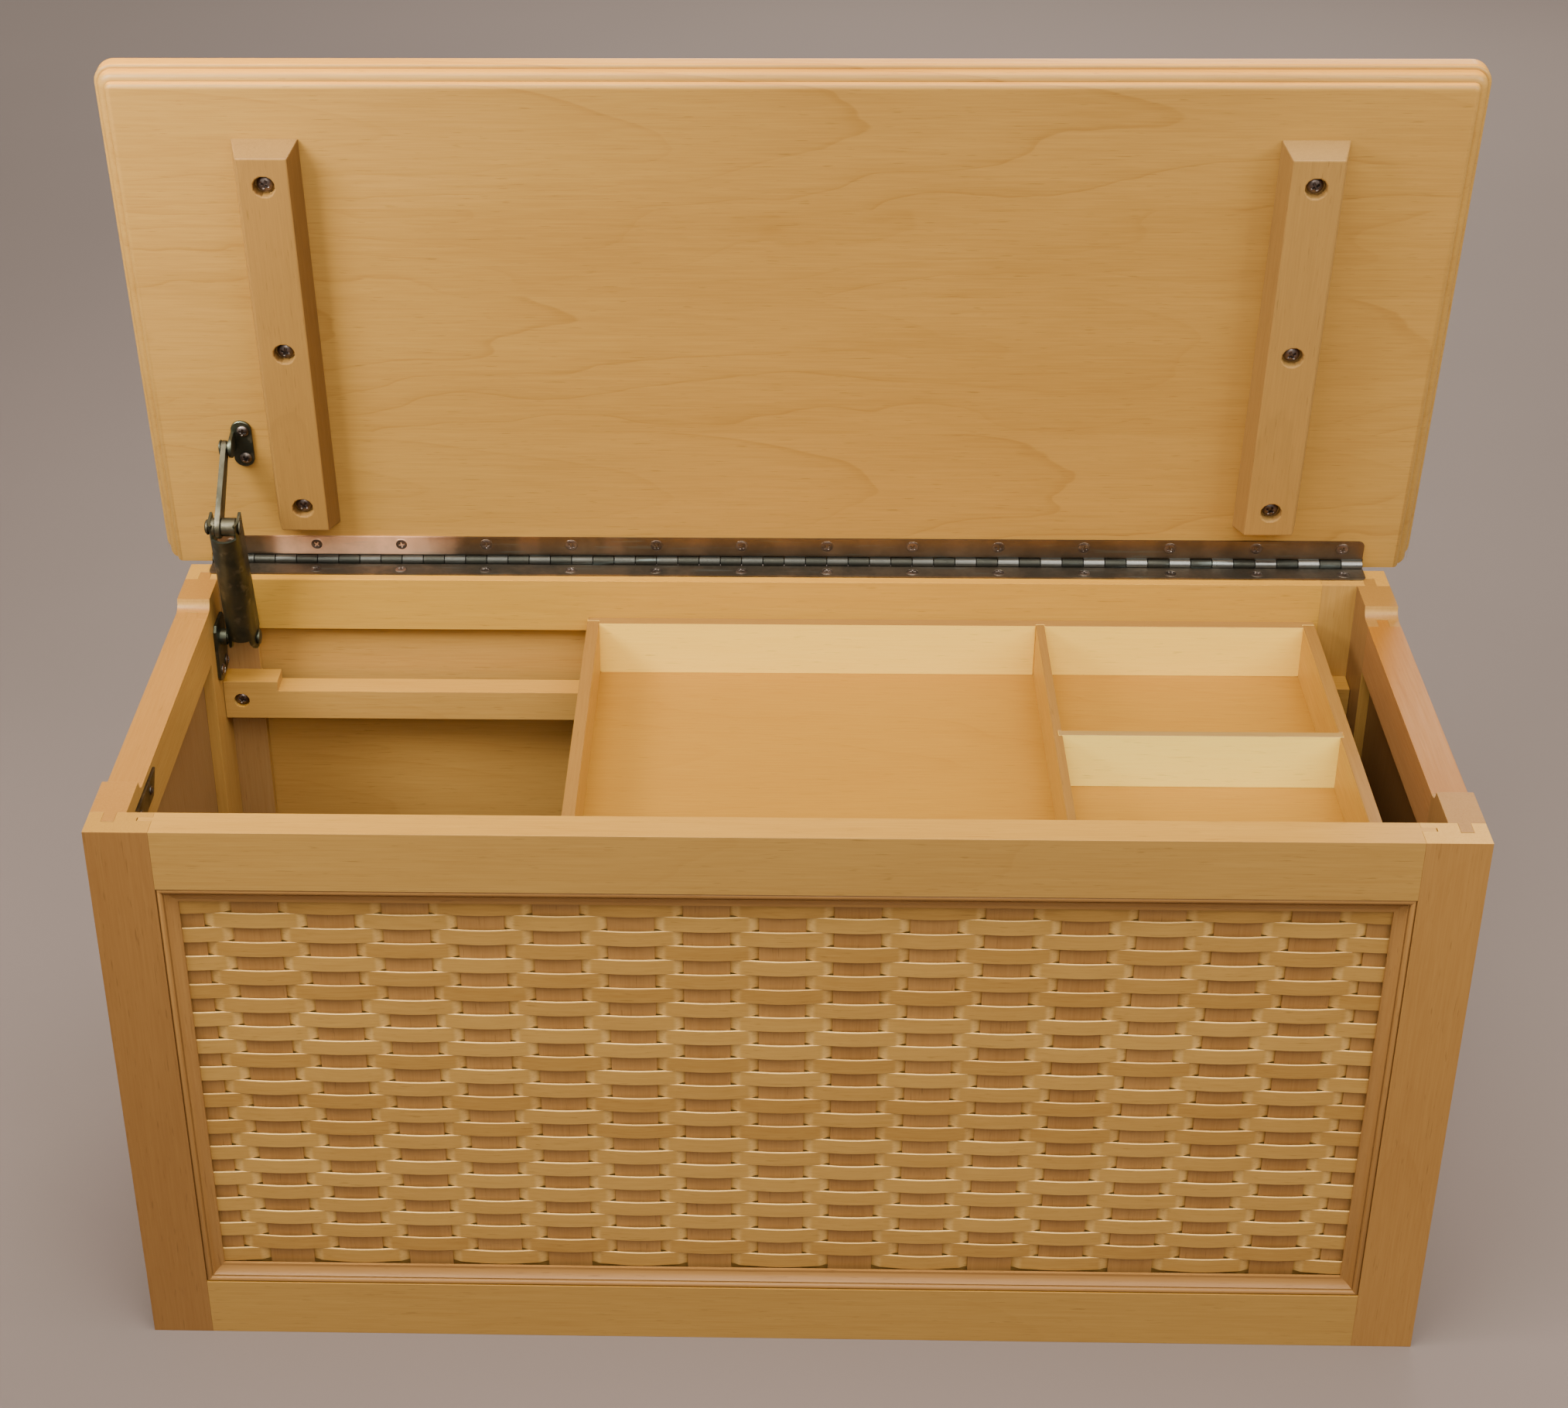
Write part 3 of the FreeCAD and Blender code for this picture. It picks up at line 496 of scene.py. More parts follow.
def solids_of(name):
    """The separate solids of a CAD node, each as its points in millimetres."""
    work = bmesh.new()
    work.from_mesh(cad[name].data)
    bmesh.ops.remove_doubles(work, verts=work.verts, dist=0.00001)
    left = set(work.verts)
    found = []
    while left:
        edge = [left.pop()]
        points = []
        while edge:
            vert = edge.pop()
            points.append(vert.co / MM)
            for link in vert.link_edges:
                other = link.other_vert(vert)
                if other in left:
                    left.remove(other)
                    edge.append(other)
        found.append(points)
    work.free()
    return sorted(found, key=lambda points: min(tuple(p) for p in points))


# Boards that keep their CAD solid: grain, face, tones and figure
boards = {
    "front_stile_left": (up, deep, shaded_stile_tones, 0.16),
    "front_stile_right": (up, deep, lit_stile_tones, 0.16),
    "front_top_rail": (across, deep, maple, 0.14),
    "front_bottom_rail": (across, deep, maple, 0.14),
    "back_stile_left": (up, deep, maple, 0.14),
    "back_stile_right": (up, deep, maple, 0.14),
    "back_top_rail": (across, deep, gold, 0.12),
    "back_bottom_rail": (across, deep, maple, 0.14),
    "left_front_stile": (up, across, maple, 0.14),
    "left_back_stile": (up, across, maple, 0.14),
    "left_top_rail": (deep, across, maple, 0.14),
    "left_bottom_rail": (deep, across, maple, 0.14),
    "right_front_stile": (up, across, maple, 0.14),
    "right_back_stile": (up, across, maple, 0.14),
    "right_top_rail": (deep, across, maple, 0.14),
    "right_bottom_rail": (deep, across, maple, 0.14),
    "left_panel": (up, across, maple, 0.2),
    "right_panel": (up, across, maple, 0.2),
    "back_panel": (across, deep, maple, 0.2),
    "bottom_board": (across, up, maple, 0.14),
    "front_lining": (across, deep, maple, 0.14),
    "moulding_top": (across, deep, red, 0.1),
    "moulding_bottom": (across, deep, red, 0.1),
    "moulding_left": (up, deep, red, 0.1),
    "moulding_right": (up, deep, red, 0.1),
    "front_runner": (across, deep, maple, 0.14),
    "back_runner": (across, deep, maple, 0.14),
    "tray_front": (across, deep, lit_cream, 0.08),
    "tray_back": (across, deep, cream, 0.08),
    "tray_left_end": (deep, across, gold, 0.1),
    "tray_right_end": (deep, across, gold, 0.1),
    "tray_floor": (across, up, tray_floor_tones, 0.25),
    "tray_long_divider": (deep, across, gold, 0.1),
    "tray_cross_divider": (across, deep, most_lit_cream, 0.08),
}

# Width of the eased edges, in metres
frame_ease = 0.0002
tray_ease = 0.0006
lid_ease = 0.0003
batten_ease = 0.0012


def painted_facing_lights_of(name, tones):
    """Painted light and shade for a board: top faces paler (painted highlight) on some boards and
    darker (painted shade) on others, and the chest's inward-facing sides darkened (painted shade).
    """
    if name == "left_panel":
        return [painted_facing_light(across, (0.6, 0.6, 0.95))]
    if name == "right_panel":
        return [painted_facing_light(-across, (0.4, 0.37, 0.5))]
    if name in ("tray_floor", "bottom_board") or name.startswith("moulding"):
        return []
    if name.startswith("tray"):
        return [painted_facing_light(up, (0.50, 0.45, 0.6) if tones is gold else (0.3, 0.23, 0.32))]
    if name == "right_top_rail":
        return [painted_facing_light(up, (0.69, 0.47, 0.16)), painted_facing_light(-across, (0.7, 0.61, 0.85))]
    if name.startswith("right"):
        return [painted_facing_light(up, (0.7, 0.6, 0.48)), painted_facing_light(-across, (0.6, 0.57, 0.8))]
    if name.startswith("left"):
        return [painted_facing_light(up, (0.8, 0.65, 0.48))]
    if name == "back_stile_left":
        return [painted_facing_light(up, (1.1, 1.01, 0.68)), painted_facing_light(-deep, (0.75, 0.76, 1.1))]
    if name.startswith("front_stile"):
        return [painted_facing_light(up, (1.42, 1.47, 0.85))]
    return [painted_facing_light(up, (1.1, 1.01, 0.68))]


def wood_name(node):
    return "maple " + node.replace("_", " ")


def finish_boards():
    """Every board of the chest and the tray keeps its solid and gets eased edges, a grain, and
    painted light and shade by facing.
    """
    chance = random.Random(3)
    for seed, (name, (grain, face, tones, figure)) in enumerate(boards.items(), 1):
        low, high = (Vector(corner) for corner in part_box(name))
        middle = (low + high) / 2 + face.cross(grain) * chance.uniform(-0.03, 0.03)
        dress(name, wood(wood_name(name), grain, face, tones, figure, seed, middle=middle,
                         painted_facing_lights=painted_facing_lights_of(name, tones)))
        soften(name, tray_ease if name.startswith("tray") else frame_ease)


# The lid is glued up of four boards. In millimetres forward of the hinge: joints, and middles
lid_joints = (89, 178, 232)
lid_middles = (46, 135, 206, 272)


def lid_staves(finish, place):
    """Each board of the lid has its own grain: gives a board's number, and its middle."""
    reach = (finish.along(place, lid_forward) - hinge_axis.dot(lid_forward)) * 1000
    first, second, third = (reach.above(joint) for joint in lid_joints)
    to_second, to_third, to_fourth = (b - a for a, b in zip(lid_middles, lid_middles[1:]))
    middle = first * to_second + second * to_third + third * to_fourth + lid_middles[0]
    return first + second + third, middle * -1


# Battens: seed, pale tone, and the direction and the tint of the chamfer that faces inward,
# darkened as painted shade. The left batten's darker pale tone is painted shade too
battens = {
    "lid_batten_left": (42.0, (0.315, 0.165, 0.040), across, (0.6, 0.55, 0.55)),
    "lid_batten_right": (43.0, (0.375, 0.207, 0.054), -across, (0.85, 0.82, 0.85)),
}


def finish_lid():
    # The lid's upward faces are tinted paler: painted highlight.
    dress("lid_panel", wood("maple lid", across, lid_normal, lid_tones, 0.42, 41.0, pith=42.0,
                            split=lid_staves, spread=0.35, blotch=0.55, middle=hinge_axis,
                            painted_facing_lights=[painted_facing_light(up, (1.64, 1.33, 0.68))]))
    soften("lid_panel", lid_ease)
    # Painted shade: the inward chamfer and the upward faces are tinted darker.
    for name, (seed, pale, shaded_side, painted_tint) in battens.items():
        low, high = (Vector(corner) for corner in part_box(name))
        tones = (pale, tuple(c * 0.72 for c in pale))
        dress(name, wood(wood_name(name), lid_forward, lid_normal, tones, 0.2, seed,
                         middle=(low + high) / 2, painted_facing_lights=[painted_facing_light(shaded_side, painted_tint, 0.3, 0.6),
                                                            painted_facing_light(up, (0.86, 0.88, 0.95))]))
        soften(name, batten_ease)


# Weave, in millimetres. A strip passes strip_air behind a slat. It starts to come forward
# strip_clear beyond the slat's edge and takes strip_rise for it, to strip_flush before the slats'
# middle. Then it bows out over the next slat, somewhere between the two depths of strip_bow
slat_pitch = 39.1
slat_half = 12.2
slat_count = 17
slat_thick = 1.1
slat_round = 0.35
slat_drift = 0.25
strip_rows = 27
strip_thick = 1.15
strip_round = 0.18
strip_gap = 0.05
strip_air = 0.04
strip_clear = 0.2
strip_rise = 5.6
strip_flush = 0.7
strip_bow = (1.75, 2.2)
strip_drift = 0.05
strip_steps = 330


def slat_of(finish, place):
    """Each slat is a board of its own: gives its number, and no shift."""
    return (finish.along(place, across) * (1000 / slat_pitch) + 0.5).floor(), 0.0


def make_slats():
    """Upright slats with rounded edges, each a little off its place."""
    low, high = limits("weave_slats")
    depth = (low.y + high.y) / 2
    chance = random.Random(5)
    build = Build()
    for k in range(-(slat_count // 2), slat_count // 2 + 1):
        nudge = chance.uniform(-slat_drift, slat_drift)
        left = max(low.x, k * slat_pitch - slat_half + nudge)
        right = min(high.x, k * slat_pitch + slat_half + nudge)
        section = rounded(right - left, slat_thick, slat_round)
        build.skin([[((left + right) / 2 + x, depth + y, z) for x, y in section]
                    for z in (low.z, high.z)])
    material = wood("maple slats", up, deep, slat_tones, 0.12, 51.0, split=slat_of, spread=0.5)
    piece("woven_slats", build, material, "chest", "weave_slats")


def smooth(share):
    """0 below 0, 1 above 1, smooth between."""
    share = min(1.0, max(0.0, share))
    return share * share * (3 - 2 * share)


def strip_depth(x, row, bows):
    """Depth of a strip's middle from the slats' middle. The strip lies behind one slat, comes up
    steeply beside it, and bows out over the next. bows holds how far for each slat."""
    nearest = round(x / slat_pitch)
    reach = abs(x - nearest * slat_pitch)
    over = nearest + (1 if x > nearest * slat_pitch else -1)
    if (row + nearest) % 2 == 0:
        reach = slat_pitch - reach
        over = nearest
    edge = slat_half + strip_rise
    if reach < edge:
        behind = (slat_thick + strip_thick) / 2 + strip_air
        climb = smooth((reach - slat_half - strip_clear) / strip_rise)
        return behind - (behind + strip_flush) * climb
    share = (reach - edge) / (slat_pitch - edge)
    return -strip_flush - (bows[over] - strip_flush) * math.sin(share * math.pi / 2) ** 1.3


def make_strips():
    """Flat strips woven through the slats, row on row."""
    slats_low, slats_high = limits("weave_slats")
    rows_low, rows_high = limits("weave_strips")
    left, right = slats_low.x, slats_high.x
    depth = (slats_low.y + slats_high.y) / 2
    top = rows_high.z
    pitch = (top - rows_low.z) / strip_rows
    section = rounded(strip_thick, pitch - strip_gap, strip_round, 2)
    farthest = slat_count // 2 + 2
    chance = random.Random(11)
    build = Build()
    for row in range(strip_rows):
        centre = top - (row + 0.5) * pitch
        bows = {k: chance.uniform(*strip_bow) for k in range(-farthest, farthest + 1)}
        drift = [chance.uniform(-strip_drift, strip_drift) for _ in range(2)]
        rings = []
        for n in range(strip_steps + 1):
            x = left + (right - left) * n / strip_steps
            t = 4 * math.pi * n / strip_steps
            y = depth + strip_depth(x, row, bows)
            z = centre + drift[0] * math.sin(t) + drift[1] * math.cos(t * 0.7)
            rings.append([(x, y + dy, z + dz) for dy, dz in section])
        build.skin(rings)

    def row_of(finish, place):
        return ((top * MM - finish.along(place, up)) * (1000 / pitch)).floor(), 0.0

    # Painted highlights: both slopes of each bow and the strips' upward edges are tinted paler.
    painted_slope_light = (1.3, 1.42, 1.8)
    material = wood("maple strips", across, deep, strip_tones, 0.12, 52.0, gloss=0.36, split=row_of,
                    spread=0.7, painted_facing_lights=[painted_facing_light(across, painted_slope_light, 0.12, 0.36),
                                          painted_facing_light(-across, painted_slope_light, 0.12, 0.36),
                                          painted_facing_light(up, (1.95, 2.3, 3.3))])
    piece("woven_strips", build, material, "chest", "weave_strips", 28)


# Hinge, in millimetres. A leaf reaches from leaf_rim to leaf_width off the axis
hinge_half = 342.9
knuckle_pitch = 12.7
knuckle_gap = 0.3
barrel_radius = 3.2
barrel_bore = 1.55
barrel_ease = 0.2
leaf_rim = 3.5
leaf_width = 15.9
leaf_thick = 1.2
leaf_corner = 3.4
screw_pitch = 50.8
screw_count = 14
screw_line = 10.6

# The ring round a hinge screw: radii and heights from the leaf's face
screw_ring = [(3.45, -0.1), (3.55, 0.1), (3.85, 0.12), (4.1, -0.1)]


def by_hinge(turn, x, y, z):
    """A place given from the hinge axis in millimetres, on a part turned about that axis."""
    return hinge_axis / MM + turn @ Vector((x, y, z))


def make_hinge_leaf(name, node, body, turn, level, outer, first, material):
    """One leaf of the full-length hinge: a plate with two rounded corners, every second knuckle of
    the barrel, counted from first, and a ring round each screw. With the lid shut, level is the
    height of the plate's underside over the axis; outer says whether its screws face up or down.
    turn carries the leaf to the rest pose."""
    build = Build()
    outline = [(hinge_half, -leaf_rim), (-hinge_half, -leaf_rim)]
    for side, start in ((-1, 180), (1, 270)):
        outline += arc(side * (hinge_half - leaf_corner), leaf_corner - leaf_width, leaf_corner,
                       start, 90, 7)
    push = turn @ Vector((0, 0, leaf_thick))
    build.slab([by_hinge(turn, x, y, level) for x, y in outline], push, 0.2)

    length = knuckle_pitch - knuckle_gap
    wall = [(barrel_bore, 0), (barrel_radius - barrel_ease, 0), (barrel_radius, barrel_ease),
            (barrel_radius, length - barrel_ease), (barrel_radius - barrel_ease, length),
            (barrel_bore, length)]
    for n in range(first, round(2 * hinge_half / knuckle_pitch), 2):
        x0 = -hinge_half + n * knuckle_pitch + knuckle_gap / 2
        x1 = x0 + length
        tab = [(x0, -leaf_rim - 0.3), (x1, -leaf_rim - 0.3), (x1, -2.3), (x0, -2.3)]
        build.slab([by_hinge(turn, x, y, level) for x, y in tab], push)
        build.turned(wall, by_hinge(turn, x0, 0, 0), across, 28, looped=True)

    face = level + leaf_thick if outer > 0 else level
    out = turn @ Vector((0, 0, outer))
    for n in range(screw_count):
        x = (n - (screw_count - 1) / 2) * screw_pitch
        build.turned(screw_ring, by_hinge(turn, x, -screw_line, face), out, looped=True)
    piece(name, build, material, body, node, 35)


def make_hinge():
    copper = hinge_metal()
    still = Matrix.Identity(3)
    make_hinge_leaf("hinge_leaf_on_box", "hinge_body_leaf", "chest", still, -2.0, 1, 0, copper)
    make_hinge_leaf("hinge_leaf_on_lid", "hinge_lid_leaf", "lid", lid_turn, 0.8, -1, 1, copper)
    dress("hinge_pin", copper)


def hinge_metal():
    """Copper plate gone dark and greenish. The lid's leaf is rubbed bright near the stay, and a
    little midway between its screws. Every second knuckle is tinted paler and made smoother as a
    painted highlight, more so towards the right."""
    finish = Finish("antique copper hinge")
    place = finish.coordinate("Object")
    x = finish.along(place, across) * 1000
    z = finish.along(place, up) * 1000 - hinge_axis.z / MM
    patch = finish.noise(place, 38.0, 4, 0.65)
    fine = finish.noise(place, 700.0, 2)
    streaks = finish.vector(x * 0.03, finish.along(place, deep) * 400, z * 0.4)
    streak = finish.noise(streaks, 1.0, 3)

    leaf = z.ramp(barrel_radius, barrel_radius + 1)
    by_stay = x.ramp(-309, -298) * (1 - (x + (patch - 0.5) * 50).ramp(-228, -186)) * leaf
    off_middle = (((x + screw_pitch / 2) / screw_pitch).fract() - 0.5).size() * screw_pitch
    rubbed = (1 - (off_middle + (patch - 0.5) * 5).ramp(3, 9)) * leaf
    knuckle = ((x + hinge_half) / knuckle_pitch).floor()
    barrel = (finish.along(place, deep) * 1000 - hinge_axis.y / MM).ramp(-3.7, -3.1) * (1 - leaf)
    # Painted highlight: every second knuckle paler and smoother, more so towards the right.
    painted_knuckle_highlight = (knuckle * 0.5).fract().above(0.25) * (x.ramp(40, 240) * 0.85 + 0.15) * barrel

    tone = finish.mix(patch.ramp(0.35, 0.65), (0.18, 0.145, 0.105), (0.09, 0.078, 0.06))
    tone = finish.mix(leaf * 0.5, tone, (0.23, 0.165, 0.115))
    tone = finish.mix(barrel * 0.9, tone, (0.034, 0.037, 0.031))
    tone = finish.mix(painted_knuckle_highlight * 0.6, tone, (0.30, 0.30, 0.28))
    tone = finish.mix(rubbed * (0.3 - x.ramp(-220, 0) * 0.22), tone, (0.50, 0.34, 0.25))
    tone = finish.mix(by_stay * ((patch - 0.5) * 1.3 + 0.8), tone, (0.85, 0.50, 0.30))
    tone = finish.mix(streak.ramp(0.58, 0.72) * 0.35, tone, (0.20, 0.25, 0.24))
    finish.set("Base Color", tone)
    finish.set("Metallic", 1 - by_stay * 0.55)
    rough = (patch - 0.5) * 0.3 + (fine - 0.5) * 0.15 + 0.36
    finish.set("Roughness", rough + (1 - leaf) * 0.14 - painted_knuckle_highlight * 0.18)
    finish.bump(fine, 0.00004, 0.4)
    return finish.material


# Lid stay, in millimetres: its pivots, its pins, and the radius a turned piece ends in
stay_foot = pivots["stay_housing_pivot"] / MM
stay_top = pivots["stay_arm_pivot"] / MM
stay_elbow = stay_top + stay_foot - hinge_axis / MM
stay_elbow.x = stay_foot.x
pin_radius = 3.0
pin_play = 0.35
point = 0.01

# The arm's pin on the closed lid, from the hinge axis, and the height of the lid's underside
top_pin_reach = -84.0
top_pin_height = -8.0
lid_underside = 2.0
lug_radius = 6.0
lug_thick = 2.0

# The stay's channel
channel_wall = 1.6
channel_back = 8.0
channel_ear = 6.5
channel_foot = 3.0
channel_crown = 4.6
channel_mouth = 5.0


def sides(node):
    """Where a CAD node begins and ends from left to right, in millimetres."""
    low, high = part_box(node)
    return low[0] / MM, high[0] / MM


def make_stay():
    """The lid stay: a plate and a pin on the chest's side, a channel with a barrel in it, a pin at
    its elbow, an arm, and a plate and a rivet on the lid."""
    bronze = metal("dark bronze stay", (0.12, 0.128, 0.088), (0.056, 0.062, 0.045),
                   (0.29, 0.28, 0.2), 0.47, 7.0)
    dull = metal("dull bronze arm", (0.10, 0.092, 0.06), (0.055, 0.052, 0.034),
                 (0.22, 0.2, 0.145), 0.56, 8.0)
    left, right = sides("stay_housing")
    arm_left, arm_right = sides("stay_arm")
    make_stay_base(left, right, bronze)
    make_stay_elbow(left, right, arm_left, arm_right, dull)
    make_channel(left, right, bronze)
    build = Build()
    outline = tapered_bar(stay_elbow, stay_top, 6.8, 4.2)
    build.slab([(arm_left, y, z) for y, z in outline], (arm_right - arm_left, 0, 0), 0.5)
    piece("stay_bar", build, dull, "stay_arm", "stay_arm")
    make_stay_lid_end(arm_left, bronze)


def make_stay_base(left, right, bronze):
    """A plate with its corners cut, and the pin through the foot of the channel."""
    low, high = limits("stay_base_plate")
    wall, face = sides("stay_base_plate")
    cut = 3.0
    outline = [(low.y + cut, low.z), (high.y - cut, low.z), (high.y, low.z + cut),
               (high.y, high.z - cut), (high.y - cut, high.z), (low.y + cut, high.z),
               (low.y, high.z - cut), (low.y, low.z + cut)]
    build = Build()
    build.slab([(wall, y, z) for y, z in outline], (face - wall, 0, 0), 0.4)
    piece("stay_plate_on_side", build, bronze, "chest", "stay_base_plate")

    collar = 5.0
    tip = right + pin_play
    build = Build()
    build.turned([(pin_radius, wall), (pin_radius, face), (collar, face),
                  (collar, left - pin_play), (pin_radius, left - pin_play), (pin_radius, tip),
                  (4.3, tip), (4.6, tip + 0.3), (4.2, tip + 1.0), (2.6, tip + 1.4),
                  (point, tip + 1.4)], (0, stay_foot.y, stay_foot.z), across)
    piece("stay_lower_pin", build, bronze, "chest", "stay_base_pin")


def make_stay_elbow(left, right, arm_left, arm_right, dull):
    """The pin at the elbow, with a collar on either side of the arm."""
    collar, eased = 5.4, 5.0
    profile = [(point, left - 2.0), (3.2, left - 1.8), (4.4, left - 0.9), (4.6, left - 0.1),
               (pin_radius, left)]
    for start, end in ((left + 1.9, arm_left - 0.2), (arm_right + 0.2, right - 1.9)):
        profile += [(pin_radius, start), (eased, start), (collar, start + 0.4),
                    (collar, end - 0.4), (eased, end), (pin_radius, end)]
    profile += [(pin_radius, right), (4.6, right + 0.1), (4.4, right + 0.8),
                (pin_radius, right + 1.3), (point, right + 1.4)]
    build = Build()
    build.turned(profile, (0, stay_elbow.y, stay_elbow.z), across)
    piece("stay_upper_pin", build, dull, "stay_housing", "stay_elbow_pin")


def make_channel(left, right, bronze):
    """A channel with a round front, ears at the lower pin, and a mouth cut back for the arm; and
    the barrel inside it."""
    along = stay_elbow - stay_foot
    turn = Matrix.Rotation(-math.atan2(along.y, along.z), 3, "X")
    centre = Vector(((left + right) / 2, stay_foot.y, stay_foot.z))
    radius = (right - left) / 2
    inner = radius - channel_wall
    middle = (channel_back - radius) / 2

    def low_of(depth):
        reach = depth - middle
        if abs(reach) < channel_ear - 0.01:
            return -math.sqrt(channel_ear * channel_ear - reach * reach)
        return channel_foot

    def high_of(depth):
        if depth < -radius * 0.6:
            return along.length - channel_mouth
        return along.length + channel_crown

    degrees = (8, 16, 24, 32, 36.5, 37.5, 44, 50, 56, 62, 70, 80, 90, 100, 110, 118, 124, 130, 136,
               142.5, 143.5, 148, 156, 164, 172)
    depths = (channel_back, 6.6, 5.8, 3.0, 0.0)
    path = [(-radius, depth) for depth in depths]
    path += [(-radius * math.cos(a), -radius * math.sin(a)) for a in map(math.radians, degrees)]
    path += [(radius, depth) for depth in reversed(depths)]
    shares = (0, 0.02, 0.06, 0.15, 0.3, 0.5, 0.7, 0.85, 0.94, 0.98, 1)
    rings = []
    for x, y in path:
        low, high = low_of(y), high_of(y)
        inner_x = x * inner / radius
        inner_y = y * inner / radius if y < 0 else y
        ring = [(x, y, low + (high - low) * share) for share in shares]
        ring += [(inner_x, inner_y, low + (high - low) * share) for share in reversed(shares)]
        rings.append([centre + turn @ Vector(p) for p in ring])
    build = Build()
    build.skin(rings)
    piece("stay_channel", build, bronze, "stay_housing", "stay_housing")

    rim = inner - 0.3
    core = rim - 1.6
    profile = [(point, 13), (rim - 0.4, 13), (rim, 13.4), (rim, 16.6), (rim - 0.4, 17), (core, 17),
               (core, 50), (rim - 0.4, 50), (rim, 50.4), (rim, 53.6), (rim - 0.4, 54), (point, 54)]
    build = Build()
    build.turned(profile, centre, turn @ up, 40)
    piece("stay_spring_barrel", build, bronze, "stay_housing", "stay_barrel")


def tapered_bar(start, end, start_radius, end_radius):
    """The outline of a flat bar with round ends, square to across, as pairs of depth and height."""
    lean = math.degrees(math.atan2(end.z - start.z, end.y - start.y))
    return (arc(end.y, end.z, end_radius, lean - 90, 180, 13)
            + arc(start.y, start.z, start_radius, lean + 90, 180, 13))


def make_stay_lid_end(arm_left, bronze):
    """An oval plate on the lid with a lug, and the rivet through the lug and the arm."""
    left, right = sides("stay_lid_plate")
    middle = top_pin_reach + 2.9
    half = 9.4
    centre, radius = (left + right) / 2, (right - left) / 2
    outline = (arc(centre, middle + half, radius, 0, 180, 13)
               + arc(centre, middle - half, radius, 180, 180, 13))
    build = Build()
    build.slab([by_hinge(lid_turn, x, y, lid_underside) for x, y in outline],
               lid_turn @ Vector((0, 0, -lid_underside)), 0.5)
    lug = [(top_pin_reach - lug_radius, 0.3), (top_pin_reach + lug_radius, 0.3)]
    lug += arc(top_pin_reach, top_pin_height, lug_radius, 0, -180, 13)
    build.slab([by_hinge(lid_turn, left, y, z) for y, z in lug], (lug_thick, 0, 0), 0.3)
    piece("stay_plate_on_lid", build, bronze, "lid", "stay_lid_plate")

    near = arm_left - pin_play
    build = Build()
    build.turned([(point, near - 1.4), (2.8, near - 1.3), (4.3, near - 0.9), (4.6, near - 0.2),
                  (4.4, near), (pin_radius, near), (pin_radius, left + lug_thick),
                  (point, left + lug_thick)], (0, stay_top.y, stay_top.z), across)
    piece("stay_lid_rivet", build, bronze, "lid", "stay_lid_pin")


def make_catch_plate():
    """Thin plate, square in front and drawn to a point at the back."""
    low, high = limits("catch_plate")
    point_reach = 9.0
    bronze = metal("dark bronze catch", (0.15, 0.125, 0.09), (0.065, 0.058, 0.045),
                   (0.40, 0.36, 0.28), 0.36, 9.0)
    build = Build()
    outline = [(low.y, low.z), (high.y - point_reach, low.z), (high.y, high.z), (low.y, high.z)]
    build.slab([(low.x, y, z) for y, z in outline], (high.x - low.x, 0, 0), 0.35)
    piece("catch_plate_on_side", build, bronze, "chest", "catch_plate")


# A screw head: rings of points at these shares of its radius, and its cross recess, whose depth,
# half width and arms are shares of the radius too
head_shares = (0.04, 0.1, 0.16, 0.22, 0.28, 0.34, 0.4, 0.46, 0.52, 0.6, 0.7, 0.8, 0.88, 0.94, 0.98,
               1.0)
head_steps = 48
recess_depth = 0.34
recess_half = 0.15
recess_reach = 0.55


def recess(off, along):
    """How deep one arm of the cross is, from 0 to 1, off its middle line and along it."""
    if abs(along) >= recess_reach:
        return 0.0
    wall = min(1.0, max(0.0, (recess_half - abs(off)) / 0.05))
    return wall * min(1.0, (recess_reach - abs(along)) / 0.1)


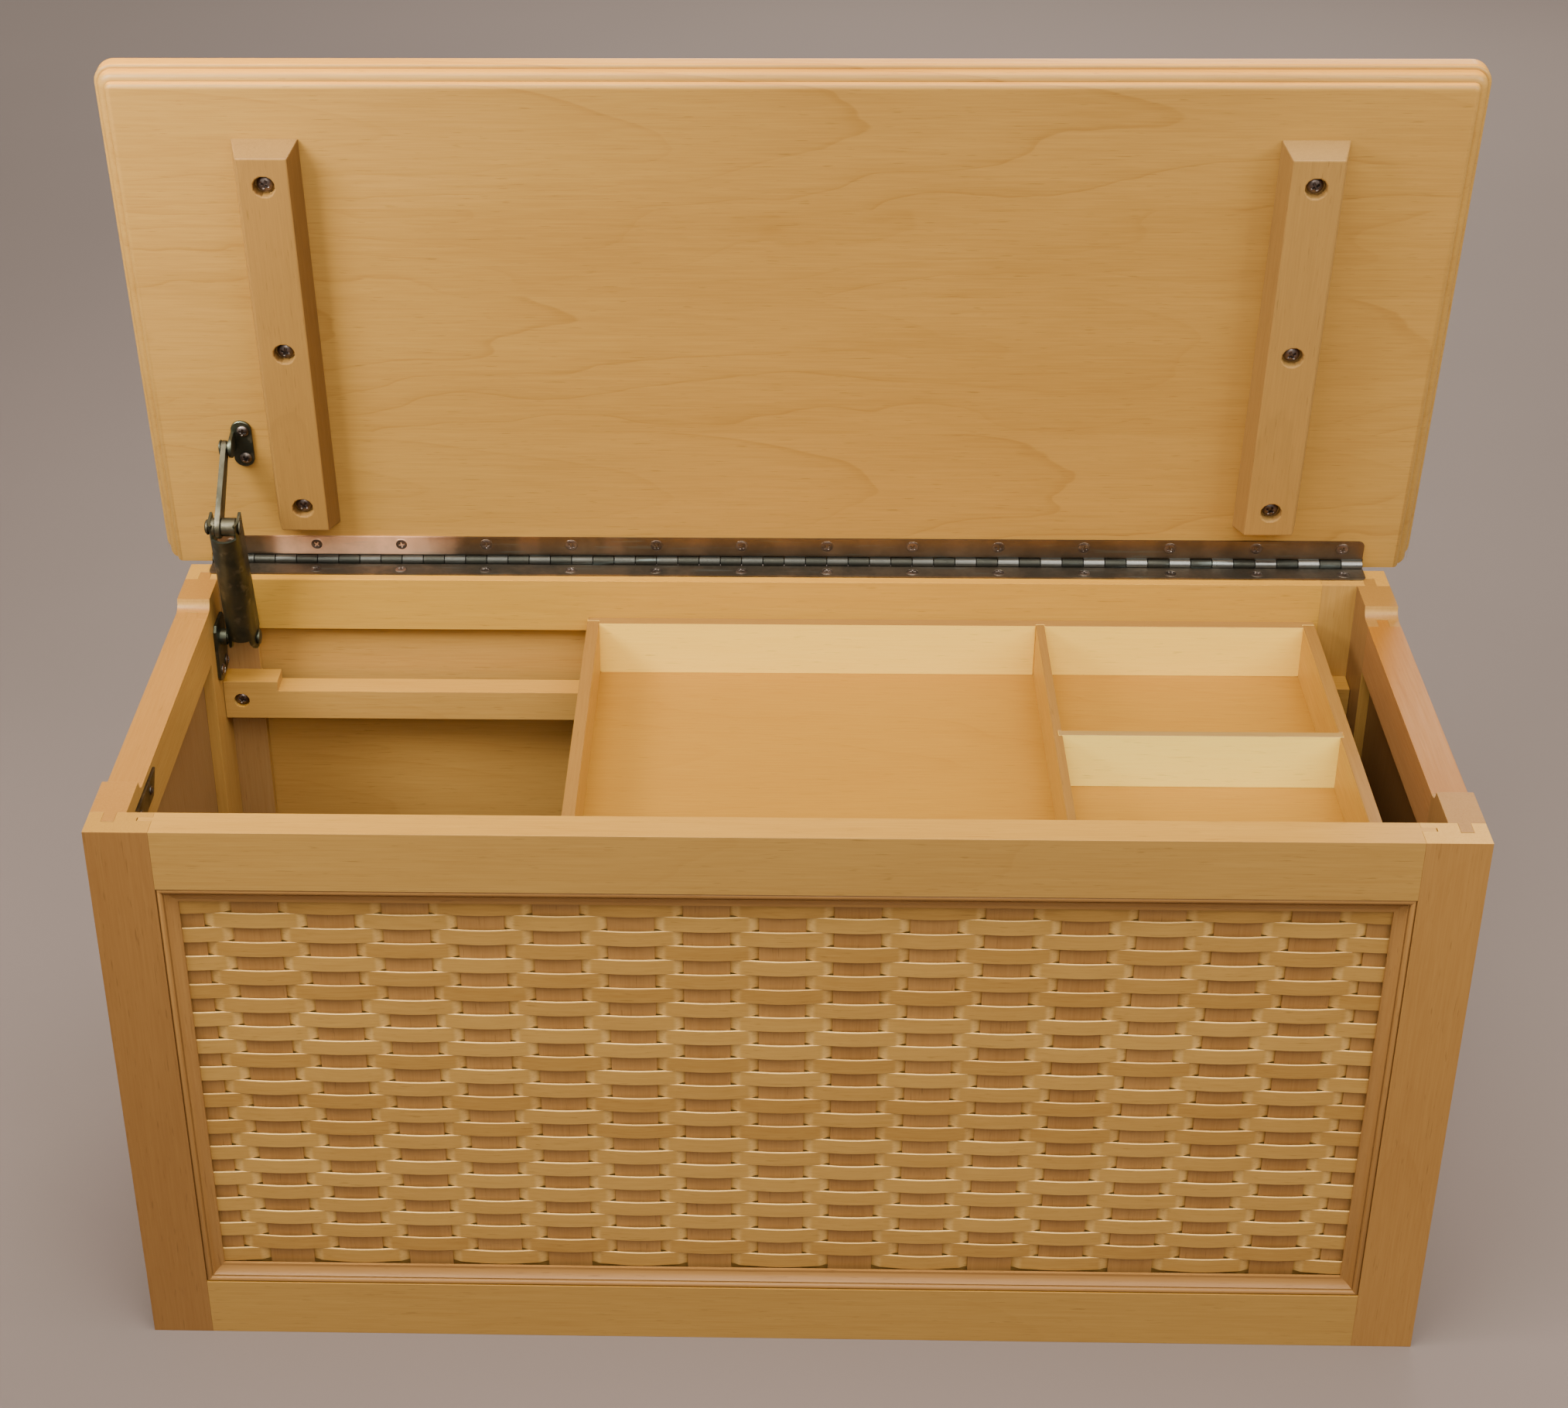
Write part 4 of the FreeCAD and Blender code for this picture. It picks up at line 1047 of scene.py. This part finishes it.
def add_screw(build, points, out, radius, height, sunk, shank, turn):
    """A screw in the place of the CAD screw with these points: a round head with a cross recess,
    and a shank that tapers to the tip. The head's rim lies sunk below the CAD screw's top."""
    top = max(p.dot(out) for p in points)
    low = min(p.dot(out) for p in points)
    ends = [p for p in points if p.dot(out) < low + 0.05]
    axis = sum(ends, Vector()) / len(ends)
    rim = axis + out * (top - sunk - axis.dot(out))
    aim = out.to_track_quat("Z", "Y") @ Matrix.Rotation(turn, 3, "Z").to_quaternion()
    turns = [n * math.tau / head_steps for n in range(head_steps)]
    rings = []
    for share in head_shares:
        crown = height * math.sqrt(max(0.0, 1.0 - (share * 0.985) ** 2))
        ring = []
        for a in turns:
            x, y = share * math.cos(a), share * math.sin(a)
            depth = max(recess(x, y), recess(y, x)) * recess_depth
            ring.append((x * radius, y * radius, crown - depth * radius))
        rings.append(ring)
    rings.append([(0.96 * radius * math.cos(a), 0.96 * radius * math.sin(a), -0.3) for a in turns])
    build.skin([[aim @ Vector(p) + rim for p in ring] for ring in rings])

    length = top - sunk - low
    near, far = shank
    build.turned([(near, -0.2), (far, -length * 0.75), (0.3, -length)], rim, out, 12)


def make_screws(name, node, out, radius, height, sunk, body, material, seed):
    """All the screws of one CAD node, which face one way."""
    build = Build()
    chance = random.Random(seed)
    shank = (radius * 0.45, radius * 0.42)
    for points in solids_of(node):
        add_screw(build, points, out, radius, height, sunk, shank, chance.uniform(0, math.tau))
    piece(name, build, material, body, node, 40)


def make_runner_screws(material):
    """The front runner's screws face back, and the back runner's screws face the front."""
    build = Build()
    chance = random.Random(27)
    low, high = limits("runner_screws")
    halfway = (low.y + high.y) / 2
    for points in solids_of("runner_screws"):
        middle = sum(points, Vector()) / len(points)
        out = deep if middle.y < halfway else -deep
        add_screw(build, points, out, 4.2, 2.4, 1.4, (1.9, 1.7), chance.uniform(0, math.tau))
    piece("runner_screw_heads", build, material, "chest", "runner_screws", 40)


def make_all_screws():
    dark = metal("dark plated screws", (0.24, 0.19, 0.165), (0.09, 0.075, 0.065),
                 (0.50, 0.44, 0.38), 0.4, 3.0)
    below = lid_turn @ -up
    for name, node, out, radius, height, sunk, body, seed in (
            ("hinge_screws_in_box", "hinge_body_screws", up, 3.3, 0.5, 0.0, "chest", 21),
            ("hinge_screws_in_lid", "hinge_lid_screws", below, 3.3, 0.5, 0.0, "lid", 22),
            ("batten_screw_heads", "batten_screws", below, 4.5, 2.2, 1.1, "lid", 23),
            ("stay_plate_screw_heads", "stay_lid_screws", below, 3.6, 1.9, 1.6, "lid", 24),
            ("stay_base_screw_heads", "stay_base_screws", across, 3.6, 1.6, 1.6, "chest", 25),
            ("catch_screw_heads", "catch_plate_screws", across, 2.6, 1.1, 1.1, "chest", 26)):
        make_screws(name, node, out, radius, height, sunk, body, dark, seed)
    make_runner_screws(dark)


add_camera()
add_studio()
finish_boards()
finish_lid()
make_slats()
make_strips()
make_hinge()
make_stay()
make_catch_plate()
make_all_screws()
